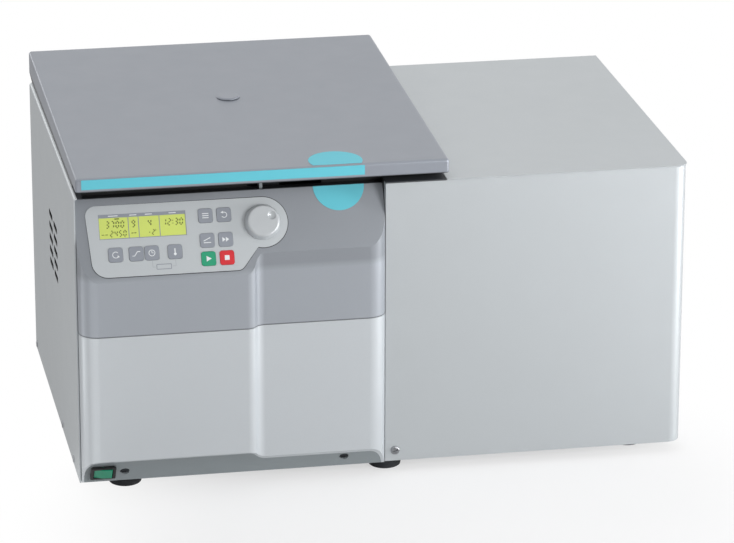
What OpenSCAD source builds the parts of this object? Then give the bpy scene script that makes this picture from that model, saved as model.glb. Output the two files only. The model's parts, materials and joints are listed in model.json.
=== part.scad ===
// Refrigerated bench centrifuge for microplates. A plastic-fronted centrifuge
// section on the left and a sheet-steel cooling unit on the right stand on one
// base tray, and a hinged lid covers the chamber and overhangs the cooling unit.
// Case coordinates: X runs from the left panel to the right, Y from the front
// sheet of the cooling unit to the back, Z up from the underside of the tray.

/* [Case] */
// Width across the whole case
case_w = 715; // [690:5:760]
// Depth from the cooling unit's front sheet to the rear sheet
case_d = 460; // [450:5:500]
// Height of the case above its feet
case_h = 342; // [335:1:365]
// Width of the centrifuge section, up to its joint with the cooling unit
section_w = 357.5; // [352:0.5:372]
// Thickness of the steel panels
sheet_t = 1.5; // [1:0.1:2]
// Corner radius of the cooling unit's front sheet
wrap_r = 16; // [10:1:24]
// Overhang of the cooling unit's top cover over its sheets
cover_over = 1.2; // [0.5:0.1:2]
// Width of the folded flanges
flange_w = 12; // [9:1:16]
// Radius of the left panel's rounded top fold
fold_r = 4; // [3:0.5:6]
// Height of the left panel's fold above the deck
fold_rise = 2.3; // [1.8:0.1:2.6]

/* [Feet] */
// Diameter of a rubber foot
foot_d = 40; // [32:1:48]
// Height of a rubber foot
foot_h = 13; // [10:1:20]
// Distance of the front feet behind the front sheet
foot_front_y = 26; // [22:1:34]
// Setback of the right front foot behind the other two
foot_setback = 20; // [0:1:30]
// Distance of the side feet in from the case sides
foot_in_x = 56; // [50:1:70]
// Diameter of the screw that holds a foot
foot_screw_d = 6; // [5:0.5:8]

/* [Fascia] */
// How far the left part of the fascia stands forward of the front sheet
fascia_out = 26.5; // [22:0.5:32]
// How far its right part stands forward
fascia_right_out = 15.3; // [12:0.1:18]
// Corner radius of the fascia in plan
fascia_r = 22; // [18:1:26]
// Wall thickness of the moulded fascia
fascia_wall = 3; // [2:0.5:4]
// Distance of the step in the fascia from the left side
step_x = 193; // [188:1:200]
// Width of the S-shaped step
step_w = 22; // [18:1:26]
// Height of the seam between the upper and the lower fascia
seam_z = 184; // [170:1:200]
// Width of the visible joint lines
seam_gap = 0.5; // [0.3:0.1:0.8]
// Height at which the sloping control panel starts
panel_z = 250; // [244:1:256]
// Lean of the control panel from the vertical
panel_lean = 28; // [25:0.5:30]
// Drop of the fascia's top edge below the deck
fascia_drop = 6; // [4:0.5:8]
// Radius of the hollow along the skirt
skirt_r = 61.6; // [56:0.2:70]
// Height at which the hollow reaches the left part's face
skirt_z = 32.7; // [28:0.1:38]
// Setback of the skirt's bottom edge behind the left part's face
skirt_in = 24; // [20:0.5:26]

/* [Chamber] */
// Distance of the rotor axis from the left side
rotor_x = 217; // [213:1:221]
// Distance of the rotor axis behind the front sheet
rotor_y = 265; // [261:1:268]
// Inner radius of the chamber bowl
bowl_r = 165; // [161:1:168]
// Inner depth of the bowl below the deck
bowl_depth = 136; // [130:1:142]
// Wall of the stainless steel bowl
bowl_t = 1.2; // [0.8:0.1:1.6]
// Radius of the bowl's bottom corner
bowl_corner = 20; // [12:1:28]
// Outside diameter of the evaporator tube
coil_d = 8; // [6:0.5:9]
// Turns of the evaporator tube round the bowl
coil_turns = 7; // [5:1:9]
// Thickness of the foam round the coil
foam_t = 10; // [7:0.5:11]
// Height of the lid seal above the deck
seal_h = 7.8; // [7.4:0.1:8]
// Width of the lid seal
seal_w = 9; // [7:0.5:12]

/* [Lid] */
// Width of the lid
lid_w = 428.5; // [424:0.5:431]
// Overhang of the lid in front of the front sheet
lid_front_over = 2; // [0:0.5:5]
// Overhang of the lid behind the case
lid_rear_over = 28; // [26:0.5:34]
// Height of the lid's front edge above the deck
lid_front_z = 7.8; // [7.8:0.1:8.6]
// Height of the lid's front face
lid_front_h = 16.5; // [15:0.5:20]
// Rise of the lid's top towards the hinge
lid_rise = 10; // [6:0.5:16]
// Edge radius of the lid
lid_edge_r = 3.5; // [2:0.5:5]
// Wall thickness of the lid shell
lid_wall = 3; // [2:0.5:4]
// Diameter of the round port plug in the lid
port_d = 28; // [22:1:34]

/* [Hinge and lock] */
// Distance of the hinge pin behind the rear sheet
hinge_y = 10; // [9:0.5:12]
// Height of the hinge pin above the deck
hinge_z = 8; // [7.5:0.5:9]
// Diameter of a hinge pin
hinge_pin_d = 6; // [5:0.5:7]
// Outer diameter of the hinge knuckles
knuckle_d = 12; // [10:0.5:13]
// Distance between the two hinges
hinge_span = 300; // [260:5:330]
// Width of one hinge
hinge_w = 60; // [50:2:76]
// Thickness of the lid striker
striker_t = 3.5; // [3:0.5:5]
// Diameter of the lock bolt
bolt_d = 8; // [6:0.5:9]
// Travel of the lock bolt
bolt_travel = 12; // [9:0.5:14]

/* [Rotor] */
// Distance of the bucket trunnions from the rotor axis
trunnion_r = 88; // [86:0.5:90]
// Depth of the trunnion axis below the deck
trunnion_drop = 56; // [53:0.5:58]
// Diameter of a trunnion pin
trunnion_d = 10; // [8:0.5:12]
// Length of the microplate that a bucket holds
plate_l = 127.8; // [126:0.1:129]
// Width of the microplate that a bucket holds
plate_w = 85.5; // [84:0.1:86.5]
// Inner depth of a bucket
bucket_depth = 42; // [36:1:43]
// Wall of a bucket
bucket_wall = 2.5; // [2:0.5:3]
// Diameter of the drive shaft where it carries the rotor
shaft_d = 14; // [12:0.5:18]
// Diameter of the drive motor
motor_d = 120; // [100:2:130]

/* [Controls] */
// Width of a key
key_w = 16.4; // [15.4:0.1:16.6]
// Travel of a key
key_travel = 0.5; // [0.3:0.1:0.7]
// Length of the display window
display_w = 99.5; // [96:0.5:101]
// Height of the display window
display_h = 28.6; // [26:0.2:29]
// Diameter of the knob at its base
knob_d = 41; // [36:0.5:44]
// Height of the knob above the control plate
knob_h = 9; // [7:0.5:12]
// Width of the rocker switch's frame
rocker_w = 29; // [28:0.5:32]
// Height of the rocker switch's frame
rocker_h = 22.4; // [21:0.2:22.6]
// Angle between the two rests of the rocker
rocker_deg = 14; // [10:1:16]

/* [Cooling unit] */
// Gap between the partition and the condenser
condenser_gap = 23.5; // [18:0.5:30]
// Gap between the condenser and the right side of the case
condenser_side = 36; // [30:1:40]
// Height of the condenser
condenser_h = 250; // [230:5:270]
// Depth of the condenser
condenser_d = 44; // [36:2:50]
// Distance of the fan's tips from the condenser's side
fan_margin = 20; // [16:1:30]
// Diameter of the compressor can
compressor_d = 130; // [116:2:140]
// Height of the compressor can
compressor_h = 150; // [140:2:180]

/* [Hidden] */
$fn = 96;
fit = 0.2;
run = 0.05;
seat = 0.3;
eps = 0.01;

screw_h = 1.2;
overall_d = fascia_out + case_d + lid_rear_over;
deck_z = case_h;
deck_under = deck_z - sheet_t;
fascia_x0 = sheet_t + 0.5;
fascia_x1 = section_w - seat;
fascia_back = 30;
fascia_top = deck_z - fascia_drop;
step_d = fascia_out - fascia_right_out;
step_r = (step_w * step_w + step_d * step_d) / (4 * step_d);
step_n = 9;
deck_x0 = fold_r;
deck_x1 = rotor_x + bowl_r + 46;
partition_x = deck_x1 - 14;

jacket_in = bowl_r + bowl_t + coil_d + 2 * seat + 1;
jacket_out = jacket_in + foam_t;
bowl_floor = deck_z - bowl_depth;

lid_x0 = rotor_x - lid_w / 2;
lid_y1 = case_d + lid_rear_over;
lid_low = deck_z + fold_rise + 1.2;
lid_front_low = deck_z + lid_front_z;
lid_top0 = lid_front_low + lid_front_h;
lid_top1 = lid_top0 + lid_rise;
liner_z = deck_z + seal_h + seat;
liner_t = 2.5;
hinge_xs = [rotor_x - hinge_span / 2, rotor_x + hinge_span / 2];
pin_y = case_d + hinge_y;
pin_z = deck_z + hinge_z;

trunnion_z = deck_z - trunnion_drop;
bucket_in_l = plate_l + 1.4;
bucket_in_w = plate_w + 1.4;
boss_y = bucket_in_l / 2 + bucket_wall + 6;
rail_y = boss_y + 0.8;
rail_t = 10;
rail_half = 106;
boss_d = trunnion_d + 16;

// The skirt's hollow is a cylinder along X through two points of the profile.
skirt_chord = [skirt_in, -skirt_z];
skirt_len = norm(skirt_chord);
skirt_sag = sqrt(skirt_r * skirt_r - skirt_len * skirt_len / 4);
skirt_cy = -fascia_out + skirt_in / 2 - skirt_sag * skirt_z / skirt_len;
skirt_cz = skirt_z / 2 - skirt_sag * skirt_in / skirt_len;

plate_t = 0.8;
display_at = [78.3, 63.5];
knob_at = [215.3, 59];
key_at = [[45.3, 31], [68.8, 31], [86.5, 31], [112.9, 31], [150.5, 70.1],
          [171.6, 70.1], [150.5, 41.7], [171.6, 41.7], [150.5, 20.7], [171.6, 20.7]];
key_colour = ["slategray", "slategray", "slategray", "slategray", "slategray",
              "slategray", "slategray", "slategray", "seagreen", "crimson"];
board_z = -8;

// Puts case coordinates into the part's own frame, centred on the floor.
module in_case() {
    translate([(screw_h - case_w) / 2, fascia_out - overall_d / 2, foot_h]) children();
}

// Lays children on the sloping control panel, X along it, Y up the slope.
module on_panel() {
    translate([0, -fascia_out, panel_z]) rotate([90 - panel_lean, 0, 0]) children();
}

// Lays children on the skirt's chord at the left, Z out of the skirt.
module on_skirt(x) {
    translate([x, -fascia_out + skirt_in / 2, skirt_z / 2])
        rotate([90 + atan(skirt_in / skirt_z), 0, 0])
            translate([0, -skirt_z * 0.08, -1]) children();
}

// Box from its low corner to its high corner.
module box(low, high) {
    translate(low) cube([for (i = [0:2]) high[i] - low[i]]);
}

// Rounded rectangle centred on the origin.
module rounded(w, h, r) {
    square([w - 2 * r, h], center = true);
    square([w, h - 2 * r], center = true);
    for (x = [-1, 1], y = [-1, 1])
        translate([x * (w / 2 - r), y * (h / 2 - r)]) circle(r, $fn = 32);
}

// Points of an arc, counter-clockwise when the end angle is the larger.
function arc(c, r, a0, a1, n) =
    [for (i = [0:n]) c + r * [cos(a0 + (a1 - a0) * i / n), sin(a0 + (a1 - a0) * i / n)]];

// Extrudes a YZ profile along X from x0 to x1.
module along_x(x0, x1) {
    translate([x0, 0, 0]) rotate([90, 0, 90]) linear_extrude(x1 - x0) children();
}

// Extrudes an XZ profile along Y from y0 to y1.
module along_y(y0, y1) {
    translate([0, y1, 0]) rotate([90, 0, 0]) linear_extrude(y1 - y0) children();
}

// Plan of the fascia, drawn in by inset, from its face back to y.
module fascia_plan(inset, back) {
    corner0 = [fascia_x0 + fascia_r, -fascia_out + fascia_r];
    corner1 = [fascia_x1 + 1 - fascia_r, -fascia_right_out + fascia_r];
    convex = [step_x, -fascia_out + step_r];
    concave = [step_x + step_w, -fascia_right_out - step_r];
    turn = 90 - atan2(convex[1] - concave[1], step_w);
    intersection() {
        union() {
            translate(corner0) circle(fascia_r - inset);
            translate([fascia_x0 + inset, corner0[1]])
                square([fascia_r, back - corner0[1]]);
            translate([corner0[0], -fascia_out + inset])
                square([convex[0] - corner0[0], back + fascia_out - inset]);
            polygon(concat([[concave[0], back], [convex[0], back]],
                arc(convex, step_r - inset, -90, turn - 90, step_n),
                arc(concave, step_r + inset, 90 + turn * (1 - 1 / step_n), 90, step_n - 1)));
            translate([concave[0], -fascia_right_out + inset])
                square([corner1[0] - concave[0], back + fascia_right_out - inset]);
            translate(corner1) circle(fascia_r - inset);
            translate([corner1[0] - 1, corner1[1]])
                square([fascia_r + 1 - inset, back - corner1[1]]);
        }
        translate([0, -fascia_out])
            square([fascia_x1 - inset * 0.6, back + fascia_out]);
    }
}

// Space above the control panel, pushed outward by out.
module above_panel(out) {
    on_panel() box([-50, -200, out], [case_w, 400, 300]);
}

// The hollow in front of the skirt, for a given radius.
module skirt_hollow(r) {
    translate([-20, skirt_cy, skirt_cz]) rotate([0, 90, 0])
        cylinder(h = section_w + 40, r = r, $fn = 180);
}

module slots(nx, nz, pitch_x, pitch_z, w, h) {
    for (i = [0:nx - 1], k = [0:nz - 1])
        translate([(i - (nx - 1) / 2) * pitch_x, (k - (nz - 1) / 2) * pitch_z])
            rounded(w, h, h / 2 - eps);
}

pipe_d = 8;
foot_at = [[foot_in_x, foot_front_y], [section_w + 4.5, foot_front_y],
           [case_w - foot_in_x, foot_front_y + foot_setback],
           [foot_in_x, case_d - foot_in_x], [section_w + 4.5, case_d - foot_in_x],
           [case_w - foot_in_x, case_d - foot_in_x]];
tray_x0 = sheet_t + fit;
tray_x1 = case_w - cover_over - sheet_t - fit;
tray_y0 = sheet_t + fit;
tray_y1 = case_d - sheet_t - fit;
mount_pcd = 150;
mount_angles = [30, 150, 270];
mount_h = 35;
motor_plate_t = 5;
motor_z = sheet_t + mount_h + motor_plate_t;
motor_top = bowl_floor - bowl_t - 36;
compressor_at = [partition_x + 95, 190];
compressor_foot = 48;
compressor_feet = [for (x = [-1, 1], y = [-1, 1]) compressor_foot * [x, y]];
compressor_base = 2 * compressor_foot + 26;
compressor_mount_h = 14;
wrap_x0 = section_w + seat;
front_screw = [wrap_x0 + 12, 13];
side_screw_y = [56, 168, case_d - 12];
side_screw_z = 6.5;
side_screw_d = 5;

module base_tray() {
    color("silver") in_case() difference() {
        box([tray_x0, tray_y0, 0], [tray_x1, tray_y1, flange_w * 2]);
        box([tray_x0 + sheet_t, tray_y0 + sheet_t, sheet_t],
            [tray_x1 - sheet_t, tray_y1 - sheet_t, 100]);
        translate([tray_x1 - wrap_r - 6, tray_y0 - 1, -1])
            cube([wrap_r + 10, wrap_r + 7, 100]);
        box([rocker_x - rocker_w / 2 - 1, tray_y0 - 1, sheet_t],
            [rocker_x + rocker_w / 2 + 1, tray_y0 + 10, 100]);
        for (p = foot_at) translate([p[0], p[1], -1]) cylinder(h = 10, d = foot_screw_d);
        for (y = side_screw_y) translate([-1, y, side_screw_z]) rotate([0, 90, 0])
            cylinder(h = 10, d = side_screw_d);
        translate([front_screw[0], -1, front_screw[1]]) rotate([-90, 0, 0])
            cylinder(h = 10, d = side_screw_d);
        for (side = [0, 1], i = [0:7])
            translate([case_w - 53 - 14 * i, side == 0 ? 250 : 150, -1])
                box([-3, -35, 0], [3, 35, 10]);
    }
}

module feet() {
    color([0.13, 0.14, 0.15]) in_case() for (p = foot_at)
        translate([p[0], p[1], -foot_h]) difference() {
            rotate_extrude() polygon([[0, 0], [foot_d / 2 - 3, 0], [foot_d / 2 - 1, 1.5],
                [foot_d / 2 - 1.5, 4], [foot_d / 2, 5.5], [foot_d / 2, foot_h], [0, foot_h]]);
            translate([0, 0, -1]) cylinder(h = 6, d = foot_screw_d * 2.2);
            translate([0, 0, -1]) cylinder(h = foot_h + 2, d = foot_screw_d);
        }
}

side_front_y = -3;
vent_at = [222.7, 212.4];
vent_pitch = [47.5, 15.2];
vent_size = [37, 8];

module left_side_panel() {
    top = deck_z + fold_rise;
    color([0.78, 0.79, 0.8]) in_case() difference() {
        along_y(side_front_y, case_d) {
            square([sheet_t, top - fold_r]);
            difference() {
                translate([fold_r, top - fold_r]) circle(fold_r);
                translate([fold_r, top - fold_r]) circle(fold_r - sheet_t);
                translate([fold_r, 0]) square([50, top + 10]);
                translate([0, 0]) square([50, top - fold_r]);
            }
            translate([fold_r, top - sheet_t]) square([flange_w - fold_r, sheet_t]);
        }
        box([fold_r, side_front_y - 1, deck_under], [flange_w + 1, fascia_back + seat, top + 1]);
        along_x(-1, sheet_t + 1) translate(vent_at)
            slots(2, 5, vent_pitch[0], vent_pitch[1], vent_size[0], vent_size[1]);
        for (y = side_screw_y) translate([-1, y, side_screw_z]) rotate([0, 90, 0])
            cylinder(h = 10, d = side_screw_d);
    }
}

skirt_hole_x = [51.4, section_w - 50];
skirt_hole_d = 11;
rocker_x = 26;

// Ring between two drawings-in of the fascia's plan.
module fascia_ring(outer, inner, h) {
    difference() {
        linear_extrude(h) fascia_plan(outer, fascia_back);
        translate([0, 0, -1]) linear_extrude(h + 2) fascia_plan(inner, fascia_back + 1);
    }
}

module lower_fascia() {
    top = seam_z - seam_gap / 2;
    color([0.8, 0.81, 0.82]) in_case() difference() {
        union() {
            fascia_ring(0, fascia_wall, top);
            translate([0, 0, top - 14]) fascia_ring(fascia_wall / 2, fascia_wall + 1.6, 14);
            translate([0, 0, top - 2]) fascia_ring(fascia_wall + fit, fascia_wall + 1.6, 6);
        }
        skirt_hollow(skirt_r);
        box([-1, -0.5, -1], [section_w + 1, 100, flange_w * 2 + 3]);
    }
}

module front_skirt() {
    color([0.46, 0.49, 0.5]) in_case() difference() {
        intersection() {
            linear_extrude(60) fascia_plan(fascia_wall + fit, fascia_back);
            difference() {
                skirt_hollow(skirt_r + 3);
                skirt_hollow(skirt_r);
            }
        }
        on_skirt(rocker_x) translate([0, 0, -10])
            linear_extrude(30) square([rocker_w - 3, rocker_h - 3.4], center = true);
        for (x = skirt_hole_x) on_skirt(x) translate([0, -4, -20])
            cylinder(h = 60, d = skirt_hole_d);
    }
}

striker_y = fascia_back - 0.5;
striker_half = 7;
lock_body_x = 24;
lock_left = 14;
lock_d = 24;
lock_x1 = 46;
slot_w = striker_t + 3;
bolt_l = 44;
bolt_x = rotor_x + slot_w / 2 + 0.5;
slot_y0 = striker_y - striker_half - 2.2;
slot_y1 = striker_y + striker_half + 2;

module upper_fascia() {
    low = seam_z + seam_gap / 2;
    color([0.64, 0.65, 0.68]) in_case() difference() {
        union() {
            translate([0, 0, low]) linear_extrude(fascia_top - low) fascia_plan(0, fascia_back);
            box([fold_r + seat, 0, fascia_top - fascia_wall],
                [flange_w, fascia_back, deck_z + fold_rise]);
        }
        above_panel(0);
        difference() {
            translate([0, 0, low - 1]) linear_extrude(fascia_top - low + 1 - fascia_wall)
                fascia_plan(fascia_wall, fascia_back + 1);
            above_panel(-fascia_wall);
        }
        on_panel() translate([0, 0, -20]) linear_extrude(40) {
            translate(display_at) square([display_w, display_h], center = true);
            for (p = key_at) translate(p) rounded(key_w + 0.5, key_w + 0.5, 3.2);
            translate(knob_at) circle(d = 9);
        }
        box([rotor_x - slot_w / 2, slot_y0, fascia_top - fascia_wall * 2],
            [rotor_x + slot_w / 2, fascia_back + 2, fascia_top + 10]);
    }
}

// Plan of the cooling unit's front and right sheets, drawn in by inset.
module wrap_plan(inset, x0) {
    x1 = case_w - cover_over;
    translate([x0, inset]) square([x1 - wrap_r - x0, case_d - sheet_t - fit - inset]);
    translate([x0, wrap_r]) square([x1 - inset - x0, case_d - sheet_t - fit - wrap_r]);
    translate([x1 - wrap_r, wrap_r]) circle(wrap_r - inset);
}

wrap_top = deck_under - fit;

module cooling_wrap_panel() {
    color([0.82, 0.83, 0.84]) in_case() difference() {
        union() {
            difference() {
                linear_extrude(wrap_top) wrap_plan(0, wrap_x0);
                translate([0, 0, -1]) linear_extrude(wrap_top + 2)
                    wrap_plan(sheet_t, wrap_x0 - 1);
            }
            translate([0, 0, wrap_top - sheet_t]) linear_extrude(sheet_t) difference() {
                wrap_plan(sheet_t - eps, wrap_x0);
                translate([-flange_w, flange_w]) square([case_w - cover_over - sheet_t, 2000]);
            }
            box([wrap_x0, sheet_t - eps, flange_w * 2 + 2],
                [wrap_x0 + sheet_t, flange_w, wrap_top - sheet_t]);
        }
        translate([front_screw[0], -1, front_screw[1]]) rotate([-90, 0, 0])
            cylinder(h = 10, d = side_screw_d);
    }
}

module cooling_top_cover() {
    r = wrap_r + cover_over;
    x0 = deck_x1 + seat;
    color([0.8, 0.81, 0.82]) in_case() union() {
        translate([0, 0, deck_under]) linear_extrude(sheet_t) {
            translate([x0, -cover_over]) square([case_w - r - x0, case_d + cover_over]);
            translate([x0, r - cover_over]) square([case_w - x0, case_d - r + cover_over]);
            translate([case_w - r, r - cover_over]) circle(r);
        }
        box([x0, flange_w + 2, deck_under - flange_w],
            [x0 + sheet_t, case_d - flange_w, deck_under]);
    }
}

module chamber_deck() {
    color([0.6, 0.62, 0.65]) in_case() difference() {
        linear_extrude(deck_z) polygon([[deck_x0, fascia_back + seat],
            [section_w + seat, fascia_back + seat], [section_w + seat, -cover_over],
            [deck_x1, -cover_over], [deck_x1, case_d], [deck_x0, case_d]]);
        translate([0, 0, -1]) linear_extrude(deck_under + 1 - flange_w)
            square([case_w, case_d + 1]);
        translate([deck_x0 + sheet_t, fascia_back + seat + sheet_t, deck_under - flange_w - 1])
            cube([deck_x1 - deck_x0 - 2 * sheet_t,
                  case_d - fascia_back - seat - sheet_t - flange_w, flange_w + 1]);
        box([section_w - 10, -10, 0], [deck_x1 + 1, flange_w + 2, deck_under]);
        box([-1, case_d - flange_w, 0], [case_w, case_d + 1, deck_under]);
        translate([rotor_x, rotor_y, deck_under - 2]) cylinder(h = 10, r = bowl_r + 0.5, $fn = 180);
        box([rotor_x - slot_w / 2, fascia_back - 5, 0], [rotor_x + slot_w / 2, slot_y1, deck_z + 1]);
        box([rotor_x - 15, fascia_back - 5, 0],
            [rotor_x + lock_body_x + lock_x1 + 1, slot_y1 + 6, deck_under]);
    }
}

condenser_w = case_w - condenser_side - condenser_gap - partition_x - sheet_t;
fan_d = condenser_w - 2 * fan_margin;
grille_at = [case_w - condenser_side - condenser_w / 2, 150];
inlet_at = [60, 60];
inlet_w = 50;
inlet_h = 34;

module rear_panel() {
    color("silver") in_case() difference() {
        box([tray_x0, case_d - sheet_t, 0], [case_w - cover_over - fit, case_d, deck_under - fit]);
        along_y(case_d - 10, case_d + 1) {
            intersection() {
                translate(grille_at) circle(fan_d / 2);
                translate(grille_at) slots(1, 17, 10, 12, fan_d, 6);
            }
            translate([150, 100]) slots(5, 6, 22, 12, 16, 5);
            translate(inlet_at) square([inlet_w - 6, inlet_h - 6], center = true);
        }
        for (x = [-1, 1]) translate([grille_at[0] + x * fan_d / 2, case_d - 5, grille_at[1]])
            box([x < 0 ? -20 : -3, -1, -3], [x < 0 ? 3 : 20, 0, 3]);
    }
}

module partition() {
    color("gainsboro") in_case() difference() {
        box([partition_x, tray_y0 + sheet_t + 12, sheet_t],
            [partition_x + sheet_t, tray_y1 - sheet_t - flange_w, deck_under - flange_w - 4]);
        for (z = [coil_low, coil_high]) translate([partition_x - 1, rotor_y, z])
            rotate([0, 90, 0]) cylinder(h = 10, d = pipe_d + 4);
    }
}

// Screw head with a cross slot, seated on a face at the origin, Z outward.
module screw_head(d, h) {
    difference() {
        cylinder(h = h, d1 = d, d2 = d * 0.8);
        for (a = [0, 90]) rotate(a) translate([-d * 0.3, -d * 0.06, h * 0.45])
            cube([d * 0.6, d * 0.12, h]);
    }
}

module case_screws() {
    color("dimgray") in_case() {
        for (y = side_screw_y) translate([0, y, side_screw_z]) rotate([0, -90, 0]) {
            screw_head(9, screw_h);
            translate([0, 0, -4]) cylinder(h = 4 + eps, d = side_screw_d - 2 * run);
        }
        translate([front_screw[0], 0, front_screw[1]]) rotate([90, 0, 0]) {
            screw_head(10, 2.2);
            translate([0, 0, -4]) cylinder(h = 4 + eps, d = side_screw_d - 2 * run);
        }
        for (x = [30, 330, case_w - 30], z = [20, deck_under - 30])
            translate([x, case_d, z]) rotate([-90, 0, 0]) screw_head(9, 1.8);
    }
}

module chamber_bowl() {
    rim = deck_under - fit;
    inner = bowl_r;
    outer = bowl_r + bowl_t;
    low = bowl_floor;
    color([0.75, 0.77, 0.79]) in_case() translate([rotor_x, rotor_y, 0]) rotate_extrude($fn = 180)
        union() {
            translate([inner, low + bowl_corner]) square([bowl_t, rim - low - bowl_corner]);
            translate([inner, rim - bowl_t]) square([seal_w, bowl_t]);
            intersection() {
                translate([inner - bowl_corner, low + bowl_corner]) difference() {
                    circle(bowl_corner + bowl_t);
                    circle(bowl_corner);
                }
                translate([inner - bowl_corner, low - bowl_t])
                    square([bowl_corner + bowl_t, bowl_corner + bowl_t]);
            }
            translate([26, low - bowl_t]) square([inner - bowl_corner - 26, bowl_t]);
            translate([26, low - bowl_t]) square([bowl_t, 14]);
        }
}

module chamber_seal() {
    color([0.1, 0.1, 0.11]) in_case() translate([rotor_x, rotor_y, deck_z])
        rotate_extrude($fn = 180) difference() {
            union() {
                translate([bowl_r + 1, -sheet_t + fit]) square([seal_w, seal_h - 3 + sheet_t - fit]);
                translate([bowl_r + 1 + seal_w / 2, seal_h - seal_w / 2]) circle(seal_w / 2, $fn = 48);
            }
            translate([bowl_r + 0.5 - eps, -2 * sheet_t]) square([seal_w + 2, 2 * sheet_t]);
            translate([bowl_r + 1 + seal_w / 2, seal_h - seal_w / 2]) circle(seal_w / 2 - 2, $fn = 32);
        }
}

module foam_jacket() {
    low = bowl_floor - bowl_t;
    top = deck_under - seat;
    color([0.9, 0.88, 0.8]) in_case() translate([rotor_x, rotor_y, 0]) difference() {
        translate([0, 0, low - 10]) cylinder(h = top - low + 10 - bowl_t - fit, r = jacket_out);
        translate([0, 0, low - seat]) cylinder(h = 300, r = jacket_in);
        translate([0, 0, low - 20]) cylinder(h = 40, r = 45);
        for (z = [coil_low, coil_high]) translate([coil_r, 0, z]) rotate([0, 90, 0])
            cylinder(h = 40, d = pipe_d + 2 * fit);
    }
}

// The evaporator is one tube wound round the bowl, its ends straight down.
coil_pitch = coil_d + 4;
coil_n = 30;
coil_r = (bowl_r + bowl_t + seat + coil_d / 2) / cos(180 / coil_n);
coil_low = bowl_floor + bowl_corner + coil_d / 2;
coil_high = coil_low + coil_pitch * coil_turns;

function coil_point(i) =
    let (a = 360 * i / coil_n)
    [coil_r * cos(a), coil_r * sin(a), coil_low + coil_pitch * i / coil_n];

// Sweeps a six-sided ring along the points, one ring to a point.
module tube(points, d) {
    n = len(points);
    s = 6;
    function heading(i) =
        let (a = points[min(i + 1, n - 1)] - points[max(i - 1, 0)]) a / norm(a);
    function ring(i) =
        let (t = heading(i),
             u = cross(t, [0, 0, 1]) / norm(cross(t, [0, 0, 1])),
             v = cross(u, t))
        [for (k = [0:s - 1]) points[i] + d / 2 * (cos(60 * k) * u + sin(60 * k) * v)];
    polyhedron(
        points = [for (i = [0:n - 1]) each ring(i)],
        faces = concat(
            [[for (k = [0:s - 1]) k]],
            [for (i = [0:n - 2], k = [0:s - 1]) each [
                [i * s + k, (i + 1) * s + k, i * s + (k + 1) % s],
                [i * s + (k + 1) % s, (i + 1) * s + k, (i + 1) * s + (k + 1) % s]]],
            [[for (k = [s - 1:-1:0]) (n - 1) * s + k]]));
}

module evaporator_coil() {
    color([0.72, 0.45, 0.3]) in_case() translate([rotor_x, rotor_y, 0])
        tube([for (i = [0:coil_turns * coil_n]) coil_point(i)], coil_d);
}

module motor_plate() {
    color("silver") in_case() translate([rotor_x, rotor_y, motor_z - motor_plate_t])
        difference() {
            cylinder(h = motor_plate_t, d = mount_pcd + 40);
            for (a = mount_angles) rotate(a) translate([mount_pcd / 2, 0, -1])
                cylinder(h = motor_plate_t + 2, d = 8);
        }
}

module rubber_mounts() {
    color([0.15, 0.15, 0.15]) in_case() {
        for (a = mount_angles) translate([rotor_x, rotor_y, sheet_t]) rotate(a)
            translate([mount_pcd / 2, 0, 0]) {
                rotate_extrude() difference() {
                    square([15, mount_h]);
                    translate([21, mount_h / 2]) circle(10, $fn = 48);
                }
                translate([0, 0, mount_h - eps])
                    cylinder(h = motor_plate_t + 6, d = 8 - 2 * run);
            }
        for (p = compressor_feet) translate([compressor_at[0] + p[0], compressor_at[1] + p[1], sheet_t])
            cylinder(h = compressor_mount_h, d = 22);
    }
}

module drive_motor() {
    color([0.3, 0.32, 0.35]) in_case() translate([rotor_x, rotor_y, motor_z]) difference() {
        union() {
            cylinder(h = motor_top - motor_z - 14, d = motor_d - 12);
            for (i = [0:5]) translate([0, 0, 6 + i * (motor_top - motor_z - 30) / 5])
                cylinder(h = 4, d = motor_d);
            translate([0, 0, motor_top - motor_z - 14 - eps]) cylinder(h = 14, d = 60);
        }
        translate([0, 0, 10]) cylinder(h = 400, d = shaft_d + 4 + 2 * run);
    }
}

module shaft_gaiter() {
    low = motor_top;
    high = bowl_floor - bowl_t;
    n = 3;
    rise = (high - low) / n;
    color([0.12, 0.12, 0.13]) in_case() translate([rotor_x, rotor_y, 0])
        rotate_extrude() polygon(concat([[24, low], [30, low]],
            [for (i = [0:n - 1]) each [[36, low + rise * (i + 0.25)], [30, low + rise * (i + 0.75)]]],
            [[34, high - 0.3], [24, high - 0.3]],
            [for (i = [n - 1:-1:0]) each [[27, low + rise * (i + 0.75)], [33, low + rise * (i + 0.25)]]]));
}

hub_low = trunnion_z - 44;
hub_top = trunnion_z + 10;

module drive_shaft() {
    color("silver") in_case() translate([rotor_x, rotor_y, 0]) {
        translate([0, 0, motor_z + 10.5])
            cylinder(h = hub_low - motor_z - 10.5 - fit, d = shaft_d + 4);
        translate([0, 0, hub_low - 1]) cylinder(h = hub_top + 1 - hub_low + 4, d = shaft_d);
    }
}

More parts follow.
